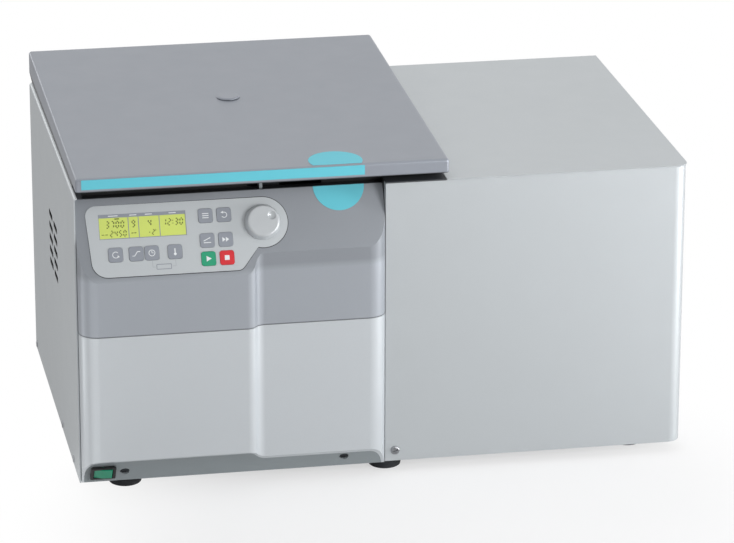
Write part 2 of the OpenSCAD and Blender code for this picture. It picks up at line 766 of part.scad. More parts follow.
module rotor_yoke() {
    color([0.66, 0.68, 0.7]) in_case() translate([rotor_x, rotor_y, 0]) difference() {
        union() {
            translate([0, 0, hub_low]) cylinder(h = hub_top - hub_low, d1 = 48, d2 = 60);
            box([-30, -rail_y, trunnion_z - 14], [30, rail_y, trunnion_z + 4]);
            for (side = [-1, 1]) translate([0, side * (rail_y + rail_t / 2), trunnion_z])
                rotate([90, 0, 0]) linear_extrude(rail_t, center = true)
                    difference() {
                        union() {
                            square([2 * trunnion_r, 2 * boss_d * 0.55], center = true);
                            for (x = [-1, 1]) translate([x * trunnion_r, 0])
                                circle(boss_d * 0.55);
                        }
                        for (x = [-1, 1]) translate([x * trunnion_r * 0.55, 0]) circle(8);
                    }
        }
        translate([0, 0, hub_low - 1]) cylinder(h = 200, d = shaft_d + 2 * run);
        for (x = [-1, 1]) translate([x * trunnion_r, 0, trunnion_z]) rotate([90, 0, 0])
            cylinder(h = 400, d = trunnion_d + 2 * run, center = true);
    }
}

module trunnion_pins() {
    color("silver") in_case()
        for (x = [-1, 1], y = [-1, 1])
            translate([rotor_x + x * trunnion_r, rotor_y, trunnion_z]) rotate([y * 90, 0, 0])
                translate([0, 0, boss_y - 5]) cylinder(h = rail_t + 5.8, d = trunnion_d);
}

module rotor_nut() {
    color([0.2, 0.22, 0.24]) in_case() translate([rotor_x, rotor_y, hub_top]) difference() {
        union() {
            cylinder(h = 16, d = 36);
            translate([0, 0, 16 - eps]) cylinder(h = 5, d1 = 36, d2 = 26);
        }
        translate([0, 0, -1]) cylinder(h = 5.2, d = shaft_d + 2 * fit);
        for (i = [0:17]) rotate(i * 20) translate([18.6, 0, -1]) cylinder(h = 20, d = 3, $fn = 16);
    }
}

// Open-topped carrier for a stack of microplates, hung on its two trunnions.
module bucket(side) {
    out_l = bucket_in_l + 2 * bucket_wall;
    out_w = bucket_in_w + 2 * bucket_wall;
    top = 6;
    low = -bucket_depth - bucket_wall + 4;
    in_case() translate([rotor_x + side * trunnion_r, rotor_y, trunnion_z]) difference() {
        union() {
            translate([0, 0, low]) linear_extrude(top - low) rounded(out_w, out_l, 6);
            for (y = [-1, 1]) intersection() {
                translate([0, y * (boss_y - 4), 0]) rotate([90, 0, 0])
                    linear_extrude(8, center = true) {
                        circle(boss_d / 2);
                        translate([-boss_d / 2, -14]) square([boss_d, 14]);
                    }
                box([-50, -100, -14], [50, 100, top + 2]);
            }
        }
        translate([0, 0, low + bucket_wall]) linear_extrude(200)
            rounded(bucket_in_w, bucket_in_l, 4);
        for (y = [-1, 1]) translate([0, y * (boss_y - 2.5), 0]) {
            rotate([90, 0, 0]) cylinder(h = 5.4, d = trunnion_d + 2 * run, center = true);
            box([-trunnion_d / 2 - run, -2.7, -20], [trunnion_d / 2 + run, 2.7, 0]);
        }
        for (x = [-1, 1]) translate([x * out_w / 2, 0, 2]) rotate([0, 90, 0])
            cylinder(h = 10, d = 44, center = true);
        translate([0, 0, low - 1]) for (x = [-1, 1], y = [-1, 1])
            translate([x * 22, y * 34, 0]) cylinder(h = 10, d = 16);
    }
}

module bucket_left() {
    color([0.7, 0.72, 0.74]) bucket(-1);
}

module bucket_right() {
    color([0.7, 0.72, 0.74]) bucket(1);
}

leaf_w = hinge_w * 0.45;
knuckle_w = (hinge_w - leaf_w) / 2 - 0.4;

module hinge_brackets() {
    color("dimgray") in_case() for (x = hinge_xs) difference() {
        union() {
            box([x - hinge_w / 2, case_d, deck_z - 40], [x + hinge_w / 2, case_d + 3, deck_z - 4]);
            for (s = [-1, 1]) {
                xm = x + s * (hinge_w - knuckle_w) / 2;
                along_x(xm - knuckle_w / 2, xm + knuckle_w / 2) {
                    translate([pin_y, pin_z]) circle(knuckle_d / 2);
                    polygon([[case_d, deck_z - 20], [case_d + 3, deck_z - 20],
                             [pin_y + knuckle_d / 2, pin_z], [pin_y - knuckle_d / 2, pin_z],
                             [case_d, deck_z - 2]]);
                }
            }
        }
        along_x(x - hinge_w, x + hinge_w) translate([pin_y, pin_z]) circle(hinge_pin_d / 2 + run);
        for (s = [-1, 1]) translate([x + s * hinge_w * 0.3, case_d - 1, deck_z - 31])
            rotate([-90, 0, 0]) cylinder(h = 10, d = 5);
    }
}

module hinge_pins() {
    color("silver") in_case() for (x = hinge_xs)
        along_x(x - hinge_w / 2 + 0.5, x + hinge_w / 2 - 0.5)
            translate([pin_y, pin_z]) circle(hinge_pin_d / 2);
}

leaf_t = 3;
leaf_z = liner_z + liner_t;

module hinge_leaves() {
    color("silver") in_case() for (x = hinge_xs) difference() {
        union() {
            along_x(x - leaf_w / 2, x + leaf_w / 2) {
                translate([pin_y, pin_z]) circle(knuckle_d / 2);
                polygon([[pin_y, pin_z], [pin_y, pin_z + knuckle_d / 2], [pin_y - 8, leaf_z + leaf_t],
                         [case_d - 6, leaf_z + leaf_t], [case_d - 6, leaf_z], [pin_y - 5, leaf_z]]);
            }
            box([x - hinge_w / 2, case_d - 50, leaf_z], [x + hinge_w / 2, case_d - 6 + eps, leaf_z + leaf_t]);
        }
        along_x(x - hinge_w, x + hinge_w) translate([pin_y, pin_z]) circle(hinge_pin_d / 2 + run);
    }
}

lid_lip = 34;

function lid_slope(y) = lid_rise * (y + lid_front_over) / (lid_y1 + lid_front_over);

module lid_shell() {
    r = lid_edge_r;
    y0 = -lid_front_over;
    w = lid_wall;
    color([0.63, 0.64, 0.68]) in_case() difference() {
        hull() for (x = [lid_x0 + r, lid_x0 + lid_w - r]) {
            translate([x, y0 + r, lid_top0 - r]) sphere(r, $fn = 32);
            translate([x, lid_y1 - r, lid_top1 - r]) sphere(r, $fn = 32);
            for (y = [y0 + r, lid_y1 - r]) translate([x, y, lid_low])
                cylinder(h = 1, r = r, $fn = 32);
        }
        box([0, y0 - 1, lid_low - 1], [case_w, y0 + lid_lip, lid_front_low]);
        along_x(0, case_w) polygon([[case_d, lid_low - 1], [case_d, lid_low],
            [lid_y1 + 1, pin_z], [lid_y1 + 1, lid_low - 1]]);
        along_x(lid_x0 + w, lid_x0 + lid_w - w) polygon([[y0 + w, lid_low - 1],
            [lid_y1 - w, lid_low - 1], [lid_y1 - w, lid_top1 - w], [y0 + w, lid_top0 - w]]);
        translate([rotor_x, rotor_y, 0]) cylinder(h = 500, d = port_d - 6);
    }
}

module lid_liner() {
    color([0.2, 0.21, 0.22]) in_case() difference() {
        union() {
            box([lid_x0 + lid_wall + fit, -lid_front_over + lid_wall + fit, liner_z],
                [lid_x0 + lid_w - lid_wall - fit, case_d - 4, liner_z + liner_t]);
            translate([rotor_x, rotor_y, liner_z - 5]) cylinder(h = 5 + eps, r = bowl_r - 8, $fn = 180);
            translate([rotor_x, rotor_y, liner_z])
                cylinder(h = lid_top0 - liner_z - lid_wall - 2, d = port_d + 6);
        }
        translate([rotor_x, rotor_y, 0]) cylinder(h = 500, d = port_d - 6);
    }
}

port_top = lid_top0 + lid_slope(rotor_y - port_d / 2);

module port_plug() {
    color([0.6, 0.61, 0.65]) in_case() translate([rotor_x, rotor_y, 0]) difference() {
        union() {
            translate([0, 0, port_top + lid_rise * port_d / lid_y1])
                cylinder(h = 2, d1 = port_d, d2 = port_d - 3);
            translate([0, 0, liner_z - 5]) cylinder(h = port_top - liner_z + 6, d = port_d - 6 - 2 * fit);
        }
        translate([0, 0, liner_z - 6]) cylinder(h = port_top - liner_z, d = port_d - 12);
    }
}

accent_x1 = 333;
accent_r = 31;
film_t = 0.3;

module lid_accent() {
    y0 = -lid_front_over;
    tilt = atan(lid_rise / (lid_y1 + lid_front_over));
    color([0.42, 0.82, 0.88]) in_case() {
        translate([0, y0, lid_top0]) rotate([tilt, 0, 0]) linear_extrude(film_t) intersection() {
            translate([accent_x1 - accent_r, 17]) circle(accent_r);
            translate([0, lid_edge_r]) square([case_w, 100]);
        }
        box([lid_x0 + 6.5, y0 - film_t, lid_front_low + 3.5],
            [accent_x1, y0, lid_top0 - lid_edge_r + 2]);
    }
}

striker_low = fascia_top - 24;

module lid_striker() {
    color("silver") in_case() difference() {
        union() {
            box([rotor_x - striker_t / 2, striker_y - striker_half, striker_low],
                [rotor_x + striker_t / 2, striker_y + striker_half, liner_z]);
            box([rotor_x - 12, striker_y - striker_half, liner_z - 2.5],
                [rotor_x + 12, striker_y + striker_half, liner_z]);
        }
        along_x(rotor_x - 5, rotor_x + 5) translate([striker_y, striker_low + 8])
            square([bolt_d + 2, bolt_d + 2], center = true);
    }
}

bolt_z = striker_low + 8;

module lock_housing() {
    top = fascia_top - fascia_wall - seat;
    color([0.25, 0.26, 0.28]) in_case() difference() {
        union() {
            box([rotor_x - lock_left, slot_y0 - 3, striker_low - 6],
                [rotor_x + lock_body_x, slot_y1 + 4, top]);
            translate([rotor_x + lock_body_x - eps, striker_y, bolt_z]) rotate([0, 90, 0])
                cylinder(h = lock_x1, d = lock_d);
            box([rotor_x - lock_left, slot_y1 + 1, top - eps],
                [rotor_x + lock_body_x, slot_y1 + 4, deck_under]);
        }
        above_panel(-fascia_wall - seat);
        box([rotor_x - slot_w / 2, slot_y0, striker_low - 3],
            [rotor_x + slot_w / 2, slot_y1, deck_z]);
        translate([bolt_x - bolt_travel - 0.5, striker_y, bolt_z]) rotate([0, 90, 0])
            cylinder(h = bolt_travel + bolt_l + 1, d = bolt_d + 2 * run);
    }
}

module lock_bolt() {
    color("silver") in_case()
        translate([bolt_x, striker_y, bolt_z]) rotate([0, 90, 0]) cylinder(h = bolt_l, d = bolt_d);
}

plate_lobe_r = 29;
plate_top = knob_at[1] + plate_lobe_r;

// Outline of the control plate, with its round lobe about the knob.
module plate_outline() {
    polygon(concat(
        arc([26, plate_top - 12], 12, 90, 175, 8),
        arc([36, 24], 18.4, 188, 270, 10),
        arc([183, 16], 10.4, 270, 322, 6),
        arc(knob_at, plate_lobe_r, -104, 90, 36)));
}

module control_plate() {
    color([0.8, 0.81, 0.83]) in_case() on_panel() linear_extrude(plate_t) difference() {
        plate_outline();
        translate(display_at) square([display_w, display_h], center = true);
        for (p = key_at) translate(p) rounded(key_w + 0.5, key_w + 0.5, 3.2);
        translate(knob_at) circle(d = 9);
    }
}

module display() {
    color([0.8, 0.86, 0.42]) in_case() on_panel() translate(display_at) {
        translate([0, 0, -fascia_wall - seat])
            linear_extrude(fascia_wall + seat + plate_t - 0.3)
                square([display_w - 2 * fit, display_h - 2 * fit], center = true);
        translate([0, 0, board_z + fit]) linear_extrude(-board_z - fascia_wall - seat - fit)
            square([display_w + 4, display_h + 4], center = true);
    }
}

module control_board() {
    color([0.1, 0.35, 0.2]) in_case() on_panel() difference() {
        union() {
            translate([0, 0, board_z - 1.6]) linear_extrude(1.6) difference() {
                translate([22, 10]) square([knob_at[0] + 19 - 22, 68]);
                translate([step_x - 5, 0]) square([100, 34]);
                translate([rotor_x - 18, knob_at[1] + 9]) square([46, 50]);
            }
            for (p = key_at) translate([p[0], p[1], board_z - eps]) linear_extrude(1.8 + eps)
                square(6, center = true);
            translate([knob_at[0], knob_at[1], board_z - eps]) cylinder(h = 4, d = 13);
        }
        translate([knob_at[0], knob_at[1], -20]) cylinder(h = 40, d = 6 + 2 * run);
    }
}

panel_accent_at = [fascia_x1 - 51.2, 97.3];
panel_accent_r = 29.6;

module panel_accent() {
    color([0.42, 0.82, 0.88]) in_case() on_panel() linear_extrude(film_t) intersection() {
        translate(panel_accent_at) circle(panel_accent_r);
        square([case_w, (fascia_top - panel_z) / cos(panel_lean) - 0.5]);
    }
}

module knob() {
    low = plate_t + 0.4;
    color([0.72, 0.73, 0.75]) in_case() on_panel() translate(knob_at) difference() {
        union() {
            translate([0, 0, low]) rotate_extrude() polygon([[0, 0], [knob_d / 2, 0],
                [knob_d / 2, 1.2], [knob_d / 2 - 2, knob_h - 1.6], [knob_d / 2 - 3.2, knob_h - 0.4],
                [knob_d / 2 - 4.4, knob_h], [0, knob_h]]);
            translate([0, 0, board_z + 0.2]) cylinder(h = low - board_z, d = 6);
        }
        translate([10, 6, low + knob_h + 3.4]) sphere(r = 6);
    }
}

// One key: a cap with a wide base that the panel holds in.
module key_cap(i) {
    color(key_colour[i]) in_case() on_panel() translate(key_at[i]) {
        translate([0, 0, -fascia_wall - seat - eps])
            linear_extrude(fascia_wall + seat + plate_t + 0.6) rounded(key_w, key_w, 3);
        translate([0, 0, -fascia_wall - seat - 1.2]) linear_extrude(1.2)
            rounded(key_w + 0.9, key_w + 0.9, 3.4);
    }
}

module key_rpm() { key_cap(0); }
module key_ramp() { key_cap(1); }
module key_time() { key_cap(2); }
module key_temp() { key_cap(3); }
module key_program() { key_cap(4); }
module key_recall() { key_cap(5); }
module key_lid() { key_cap(6); }
module key_quick() { key_cap(7); }
module key_start() { key_cap(8); }
module key_stop() { key_cap(9); }

rocker_l = rocker_w - 7.5;
rocker_s = rocker_h - 6;
rocker_pin_d = 3;
rocker_pin_l = rocker_s + 2.4;

module rocker_frame() {
    color([0.08, 0.08, 0.09]) in_case() on_skirt(rocker_x) difference() {
        union() {
            linear_extrude(2.4) rounded(rocker_w, rocker_h, 1.5);
            translate([0, 0, -16]) linear_extrude(16 + eps)
                square([rocker_w - 3.4, rocker_h - 3.8], center = true);
        }
        translate([0, 0, -11]) linear_extrude(30) square([rocker_l + 0.8, rocker_s + 0.6], center = true);
        rotate([90, 0, 0])
            cylinder(h = rocker_pin_l + 2 * fit, d = rocker_pin_d + 2 * run, center = true);
    }
}

module rocker_key() {
    color([0.2, 0.6, 0.48]) in_case() on_skirt(rocker_x) rotate([90, -rocker_deg / 2, 0]) union() {
        linear_extrude(rocker_s, center = true)
            polygon([[-rocker_l / 2, 0.5], [-rocker_l / 2 + 1, -2.5], [-3, -5.5], [3, -5.5],
                     [rocker_l / 2 - 1, -2.5], [rocker_l / 2, 0.5], [rocker_l / 2 - 0.5, 2.2],
                     [0, 3.2], [-rocker_l / 2 + 0.5, 2.2]]);
        cylinder(h = rocker_pin_l, d = rocker_pin_d, center = true);
    }
}

sink_at = [70, 18];
sink_w = 200;
sink_t = 4;
sink_h = 110;
sink_fins = 10;
sink_pitch = 18;
sink_fin_d = 22;

module drive_electronics() {
    color([0.35, 0.37, 0.4]) in_case() {
        box([sink_at[0], sink_at[1], sheet_t], [sink_at[0] + sink_w, sink_at[1] + sink_t, sink_h]);
        for (i = [0:sink_fins - 1]) translate([sink_at[0] + 10 + i * sink_pitch, sink_at[1] + sink_t])
            box([0, -eps, sheet_t + 4], [4, sink_fin_d, sink_h - 10]);
        translate([sink_at[0] + sink_w + 6, 40, sheet_t]) cube([64, 40, sink_h - 20]);
    }
}

module compressor() {
    r = compressor_d / 2;
    z0 = sheet_t + compressor_mount_h;
    h = compressor_h;
    color([0.12, 0.12, 0.13]) in_case() translate([compressor_at[0], compressor_at[1], z0])
        union() {
            rotate_extrude() union() {
                translate([0, 6]) square([r, h - 6 - r * 0.5]);
                translate([0, 4]) square([r - 8, 4]);
                intersection() {
                    translate([0, h - r * 0.5]) circle(r);
                    translate([0, h - r * 0.5 - eps]) square([r, r * 0.5]);
                }
                translate([0, h * 0.45]) square([r + 3, 6]);
            }
            linear_extrude(5) rounded(compressor_base, compressor_base, 12);
            translate([r - 6, 0, h * 0.7]) rotate([0, 90, 0]) cylinder(h = 16, d = 12);
            translate([-r - 10, -12, h * 0.25]) cube([14, 24, 40]);
        }
}

condenser_x0 = grille_at[0] - condenser_w / 2;
condenser_y1 = tray_y1 - 66;
condenser_fins = 22;
condenser_tube_d = 9;

module condenser() {
    y0 = condenser_y1 - condenser_d;
    color([0.7, 0.7, 0.68]) in_case() {
        for (x = [condenser_x0, condenser_x0 + condenser_w - 2])
            box([x, y0, sheet_t], [x + 2, condenser_y1, condenser_h + sheet_t]);
        for (z = [sheet_t, condenser_h + sheet_t - 2])
            box([condenser_x0 + 2 - eps, y0, z], [condenser_x0 + condenser_w - 2 + eps, condenser_y1, z + 2]);
        for (i = [1:condenser_fins])
            translate([condenser_x0 + i * condenser_w / (condenser_fins + 1), y0 + 2, sheet_t + 2 - eps])
            cube([0.8, condenser_d - 4, condenser_h - 4 + 2 * eps]);
        for (k = [0:7], j = [0, 1])
            along_x(condenser_x0 + 2 - eps, condenser_x0 + condenser_w - 2 + eps)
                translate([y0 + condenser_d * (0.3 + 0.4 * j), sheet_t + 20 + k * (condenser_h - 40) / 7])
                    circle(condenser_tube_d / 2, $fn = 24);
    }
}

fan_y0 = condenser_y1 + seat;
fan_hub_d = 60;

module fan_shroud() {
    s = condenser_w - 6;
    color([0.14, 0.14, 0.15]) in_case() translate([grille_at[0], 0, grille_at[1]]) difference() {
        union() {
            along_y(fan_y0, fan_y0 + 30) difference() {
                translate([-s / 2, -grille_at[1] + sheet_t]) square([s, condenser_h - 2]);
                circle(d = fan_d + 5);
            }
            along_y(fan_y0, fan_y0 + 14) circle(d = fan_hub_d - 4);
            along_y(fan_y0, fan_y0 + 4) for (a = [45:90:359]) rotate(a)
                translate([fan_hub_d / 2 - 6, -4]) square([fan_d / 2 - fan_hub_d / 2 + 10, 8]);
        }
        along_y(fan_y0 + 5, fan_y0 + 40) circle(d = 6 + 2 * run);
    }
}

module cooling_fan() {
    color([0.1, 0.1, 0.1]) in_case() translate([grille_at[0], fan_y0 + 14 + seat, grille_at[1]])
        rotate([-90, 0, 0]) {
            cylinder(h = 22, d = fan_hub_d);
            translate([0, 0, -8]) cylinder(h = 9, d = 6);
            for (a = [0:72:359]) rotate(a) translate([fan_hub_d / 2 - 3, 0, 8]) rotate([32, 0, 0])
                translate([0, -20, -1]) cube([fan_d / 2 - fan_hub_d / 2 - 1, 40, 2]);
        }
}

// Straight pipes between the points, with a brazed joint at each bend.
module pipe_run(points, d) {
    for (i = [0:len(points) - 2]) {
        v = points[i + 1] - points[i];
        translate(points[i]) rotate([0, acos(v[2] / norm(v)), atan2(v[1], v[0])])
            cylinder(h = norm(v), d = d);
    }
    for (i = [1:len(points) - 2]) translate(points[i]) sphere(d = d * 1.3);
}

module refrigerant_pipes() {
    coil_x = rotor_x + coil_r + coil_d / 2 + seat;
    can_x = compressor_at[0] + compressor_d / 2 + 10 + seat;
    can_top = sheet_t + compressor_mount_h + compressor_h;
    can_side = sheet_t + compressor_mount_h + compressor_h * 0.7;
    bend_x = partition_x + 16;
    inside_y = condenser_y1 - condenser_d / 2;
    over_z = condenser_h + sheet_t + 18;
    color([0.72, 0.45, 0.3]) in_case() {
        pipe_run([[coil_x, rotor_y, coil_high], [compressor_at[0], rotor_y, coil_high],
                  [compressor_at[0], compressor_at[1], coil_high],
                  [compressor_at[0], compressor_at[1], can_top + seat]], pipe_d);
        pipe_run([[coil_x, rotor_y, coil_low], [bend_x, rotor_y, coil_low],
                  [bend_x, inside_y, coil_low], [condenser_x0 - seat, inside_y, coil_low]], pipe_d);
        pipe_run([[can_x, compressor_at[1], can_side], [can_x + 20, compressor_at[1], can_side],
                  [can_x + 20, compressor_at[1], over_z], [can_x + 20, inside_y, over_z],
                  [can_x + 20, inside_y, condenser_h + sheet_t + seat]], pipe_d);
    }
}

module power_inlet() {
    color([0.07, 0.07, 0.08]) in_case() translate([inlet_at[0], case_d, inlet_at[1]])
        rotate([-90, 0, 0]) union() {
            difference() {
                union() {
                    linear_extrude(2.5) rounded(inlet_w, inlet_h, 3);
                    translate([0, 0, -24]) linear_extrude(24 + eps)
                        square([inlet_w - 6 - 2 * fit, inlet_h - 6 - 2 * fit], center = true);
                }
                translate([0, 0, -18]) linear_extrude(30) rounded(31, 23, 4);
            }
            for (p = [[-8, 4], [8, 4], [0, -4]]) translate([p[0], p[1], -18 - eps])
                linear_extrude(13) square([2, 6], center = true);
        }
}

base_tray();
feet();
left_side_panel();
lower_fascia();
upper_fascia();
front_skirt();
cooling_wrap_panel();
cooling_top_cover();
chamber_deck();
rear_panel();
partition();
case_screws();
chamber_bowl();
chamber_seal();
foam_jacket();
evaporator_coil();
motor_plate();
rubber_mounts();
drive_motor();
shaft_gaiter();
drive_shaft();
rotor_yoke();
trunnion_pins();
rotor_nut();
bucket_left();
bucket_right();
hinge_brackets();
hinge_pins();
hinge_leaves();
lid_shell();
lid_liner();
lid_accent();
port_plug();
lid_striker();
lock_housing();
lock_bolt();
control_plate();
display();
control_board();
panel_accent();
knob();
key_rpm();
key_ramp();
key_time();
key_temp();
key_program();
key_recall();
key_lid();
key_quick();
key_start();
key_stop();
rocker_frame();
rocker_key();
drive_electronics();
compressor();
condenser();
fan_shroud();
cooling_fan();
refrigerant_pipes();
power_inlet();
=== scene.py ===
# A bench centrifuge for microplates with its cooling unit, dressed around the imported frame.
import json
import math
import bmesh
import bpy
from mathutils import Matrix, Vector


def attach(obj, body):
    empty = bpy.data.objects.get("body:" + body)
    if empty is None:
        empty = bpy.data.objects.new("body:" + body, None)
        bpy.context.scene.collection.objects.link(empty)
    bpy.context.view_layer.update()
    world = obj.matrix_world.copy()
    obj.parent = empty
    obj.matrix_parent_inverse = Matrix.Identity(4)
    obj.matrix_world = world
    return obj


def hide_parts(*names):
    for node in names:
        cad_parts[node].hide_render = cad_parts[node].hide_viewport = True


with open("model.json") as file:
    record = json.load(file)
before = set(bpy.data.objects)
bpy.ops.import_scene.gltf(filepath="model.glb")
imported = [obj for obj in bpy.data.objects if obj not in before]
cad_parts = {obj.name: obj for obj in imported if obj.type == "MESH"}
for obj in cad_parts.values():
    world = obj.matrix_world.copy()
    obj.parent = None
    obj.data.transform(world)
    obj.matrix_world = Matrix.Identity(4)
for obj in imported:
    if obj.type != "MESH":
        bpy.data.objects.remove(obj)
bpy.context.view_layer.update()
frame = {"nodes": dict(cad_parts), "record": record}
solids = frame["nodes"]
bodyOf = {node: body for body, members in frame["record"]["behaviour"]["bodies"].items()
          for node in members}
slotOf = {part["node"]: part["material_slot"] for part in frame["record"]["subparts"]}
mm = 0.001


class Wire:
    # one socket of a node tree; sums written with it add Math nodes
    def __init__(self, owner, socket):
        self.owner = owner
        self.socket = socket

    def maths(self, operation, first, second):
        return self.owner.add("ShaderNodeMath", {"operation": operation}, {0: first, 1: second})

    def __add__(self, other):
        return self.maths("ADD", self, other)

    def __radd__(self, other):
        return self.maths("ADD", other, self)

    def __sub__(self, other):
        return self.maths("SUBTRACT", self, other)

    def __rsub__(self, other):
        return self.maths("SUBTRACT", other, self)

    def __mul__(self, other):
        return self.maths("MULTIPLY", self, other)

    def __rmul__(self, other):
        return self.maths("MULTIPLY", other, self)

    def __truediv__(self, other):
        return self.maths("DIVIDE", self, other)


class NodeTree:
    # add takes a node's type, its settings, and the values or links of its sockets
    def __init__(self, tree):
        self.tree = tree
        tree.nodes.clear()

    def add(self, kind, settings, sockets, output=0):
        node = self.tree.nodes.new(kind)
        for key, value in settings.items():
            if key == "stops":
                for element, (place, shade) in zip(node.color_ramp.elements, value):
                    element.position = place
                    element.color = (shade, shade, shade, 1)
            else:
                setattr(node, key, value)
        for key, value in sockets.items():
            if isinstance(value, Wire):
                self.tree.links.new(value.socket, node.inputs[key])
            else:
                node.inputs[key].default_value = value
        return Wire(self, node.outputs[output]) if len(node.outputs) else None

    def place(self, centre=(0, 0, 0), stretch=(1, 1, 1)):
        spot = self.add("ShaderNodeTexCoord", {}, {}, "Object")
        if centre == (0, 0, 0) and stretch == (1, 1, 1):
            return spot
        moved = self.add("ShaderNodeVectorMath", {"operation": "SUBTRACT"}, {0: spot, 1: centre})
        return self.add("ShaderNodeVectorMath", {"operation": "MULTIPLY"}, {0: moved, 1: stretch})


class Finish(NodeTree):
    # a material; the shader's own sockets are set by name
    def __init__(self, name, colour, rough, **sockets):
        self.material = bpy.data.materials.new(name)
        self.material.use_nodes = True
        super().__init__(self.material.node_tree)
        self.shader = self.tree.nodes.new("ShaderNodeBsdfPrincipled")
        output = self.tree.nodes.new("ShaderNodeOutputMaterial")
        self.tree.links.new(self.shader.outputs[0], output.inputs[0])
        self.colour = (*linear(colour), 1)
        self.shader.inputs["Base Color"].default_value = self.colour
        self.shader.inputs["Roughness"].default_value = rough
        for socket, value in sockets.items():
            self.shader.inputs[socket.replace("_", " ")].default_value = value
        self.material.diffuse_color = self.colour

    def noise(self, scale, detail=2.0, spot=None):
        return self.add("ShaderNodeTexNoise", {}, {
            "Vector": spot or self.place(), "Scale": scale, "Detail": detail, "Roughness": 0.5})

    def ramp(self, value, *stops):
        return self.add("ShaderNodeValToRGB", {"stops": stops}, {0: value})

    def mix(self, factor, first, second):
        return self.add("ShaderNodeMix", {"data_type": "RGBA"},
                        {0: factor, 6: first, 7: second}, 2)

    def shade(self, amount):
        # the finish's own colour, lighter or darker by amount
        return tuple(min(1, part * amount) for part in self.colour[:3]) + (1,)

    def feed(self, socket, wire):
        self.tree.links.new(wire.socket, self.shader.inputs[socket])

    def bump(self, height, distance, strength=1.0):
        self.feed("Normal", self.add("ShaderNodeBump", {}, {
            "Height": height, "Distance": distance, "Strength": strength}))


class Backdrop(NodeTree):
    # a tree that shows one thing to the camera and in gloss, and another to the light
    def clamped(self, wire):
        return self.add("ShaderNodeClamp", {}, {"Value": wire})

    def seenRay(self):
        camera, gloss, clear = (self.add("ShaderNodeLightPath", {}, {}, kind) for kind in (
            "Is Camera Ray", "Is Glossy Ray", "Is Transmission Ray"))
        return camera.maths("MAXIMUM", camera.maths("MAXIMUM", camera, gloss), clear)


def linear(colour):
    # 8-bit screen colour to the shader's scale
    return tuple(part / 255 / 12.92 if part <= 10 else ((part / 255 + 0.055) / 1.055) ** 2.4
                 for part in colour)


# noise cells to the metre, by what the pattern stands for
cellsOf = {"flake": 2600, "paintCloud": 4.5, "sheen": 35, "orangePeel": 900, "mouldCloud": 9,
           "bloom": 60, "rubberSkin": 1200, "turnedStain": 14, "sheetStain": 11, "foam": 650,
           "glassGrain": 2600, "glassCloud": 30}


def flakePaint(name, colour, rough, flake=0.03, peel=0.06, metal=0.0, coat=0.0, gloss=0.5,
               dim=()):
    # sprayed metallic paint: fine flake, cloudy tone and orange peel; each dim gives two
    # heights and how far the colour is turned down, or up, at both, as painted shade or painted
    # light
    paint = Finish(name, colour, rough, Metallic=metal, Coat_Weight=coat, Coat_Roughness=0.25,
                   Specular_IOR_Level=gloss)
    grain = paint.noise(cellsOf["flake"], 1.0)
    cloud = paint.noise(cellsOf["paintCloud"], 3.0)
    tone = grain * 0.75 + cloud * 0.25
    toneWithPaintedShading = paint.mix(paint.ramp(tone, (0.3, 0.0), (0.7, 1.0)),
                      paint.shade(1 - flake), paint.shade(1 + flake))
    # each dim scales the colour by height: painted shade where it turns it down, painted light
    # where it turns it up
    for (low, high), atLow, atHigh in dim:
        height = paint.add("ShaderNodeSeparateXYZ", {}, {0: paint.place()}, "Z")
        depth = paint.add("ShaderNodeMapRange", {}, {
            0: height, 1: low, 2: high, 3: atLow, 4: atHigh})
        toneWithPaintedShading = paint.add("ShaderNodeVectorMath", {"operation": "SCALE"}, {
            0: toneWithPaintedShading, "Scale": depth})
    paint.feed("Base Color", toneWithPaintedShading)
    paint.feed("Roughness", paint.noise(cellsOf["sheen"], 3.0) * 0.1 + (rough - 0.05))
    paint.bump(paint.noise(cellsOf["orangePeel"], 2.0), peel * mm, 0.6)
    return paint.material


def mouldedPlastic(name, colour, rough, grain=0.05, size=1500, coat=0.0):
    # injection-moulded part with a spark-eroded texture
    plastic = Finish(name, colour, rough, Coat_Weight=coat, Coat_Roughness=0.15)
    speck = plastic.noise(size, 3.0)
    cloud = plastic.noise(cellsOf["mouldCloud"], 2.0)
    plastic.feed("Base Color", plastic.mix(cloud * 0.6 + speck * 0.4,
                                           plastic.shade(0.95), plastic.shade(1.05)))
    plastic.feed("Roughness", speck * 0.14 + (rough - 0.07))
    plastic.bump(speck, grain * mm, 0.7)
    return plastic.material


def softRubber(name, colour, rough=0.78):
    rubber = Finish(name, colour, rough, Specular_IOR_Level=0.3)
    bloom = rubber.noise(cellsOf["bloom"], 5.0)
    rubber.feed("Base Color", rubber.mix(rubber.ramp(bloom, (0.42, 0.0), (0.75, 1.0)),
                                         rubber.shade(1.0), rubber.shade(1.9)))
    rubber.feed("Roughness", bloom * 0.2 + (rough - 0.1))
    rubber.bump(rubber.noise(cellsOf["rubberSkin"], 3.0), 0.05 * mm)
    return rubber.material


def turnedMetal(name, colour, rough, centre, lay=900, metal=1.0):
    # lathe marks that run round an upright axis
    steel = Finish(name, colour, rough, Metallic=metal)
    spot = steel.place(centre)
    flat = steel.add("ShaderNodeVectorMath", {"operation": "MULTIPLY"}, {0: spot, 1: (1, 1, 0)})
    radius = steel.add("ShaderNodeVectorMath", {"operation": "LENGTH"}, {0: flat}, "Value")
    height = steel.add("ShaderNodeSeparateXYZ", {}, {0: spot}, "Z")
    ring = steel.add("ShaderNodeCombineXYZ", {}, {0: radius, 1: height})
    marks = steel.noise(lay, 2.0, ring)
    stain = steel.noise(cellsOf["turnedStain"], 4.0)
    steel.feed("Base Color", steel.mix(marks * 0.6 + stain * 0.4,
                                       steel.shade(0.88), steel.shade(1.08)))
    steel.feed("Roughness", marks * 0.16 + stain * 0.08 + (rough - 0.1))
    steel.bump(marks, 0.03 * mm, 0.5)
    return steel.material


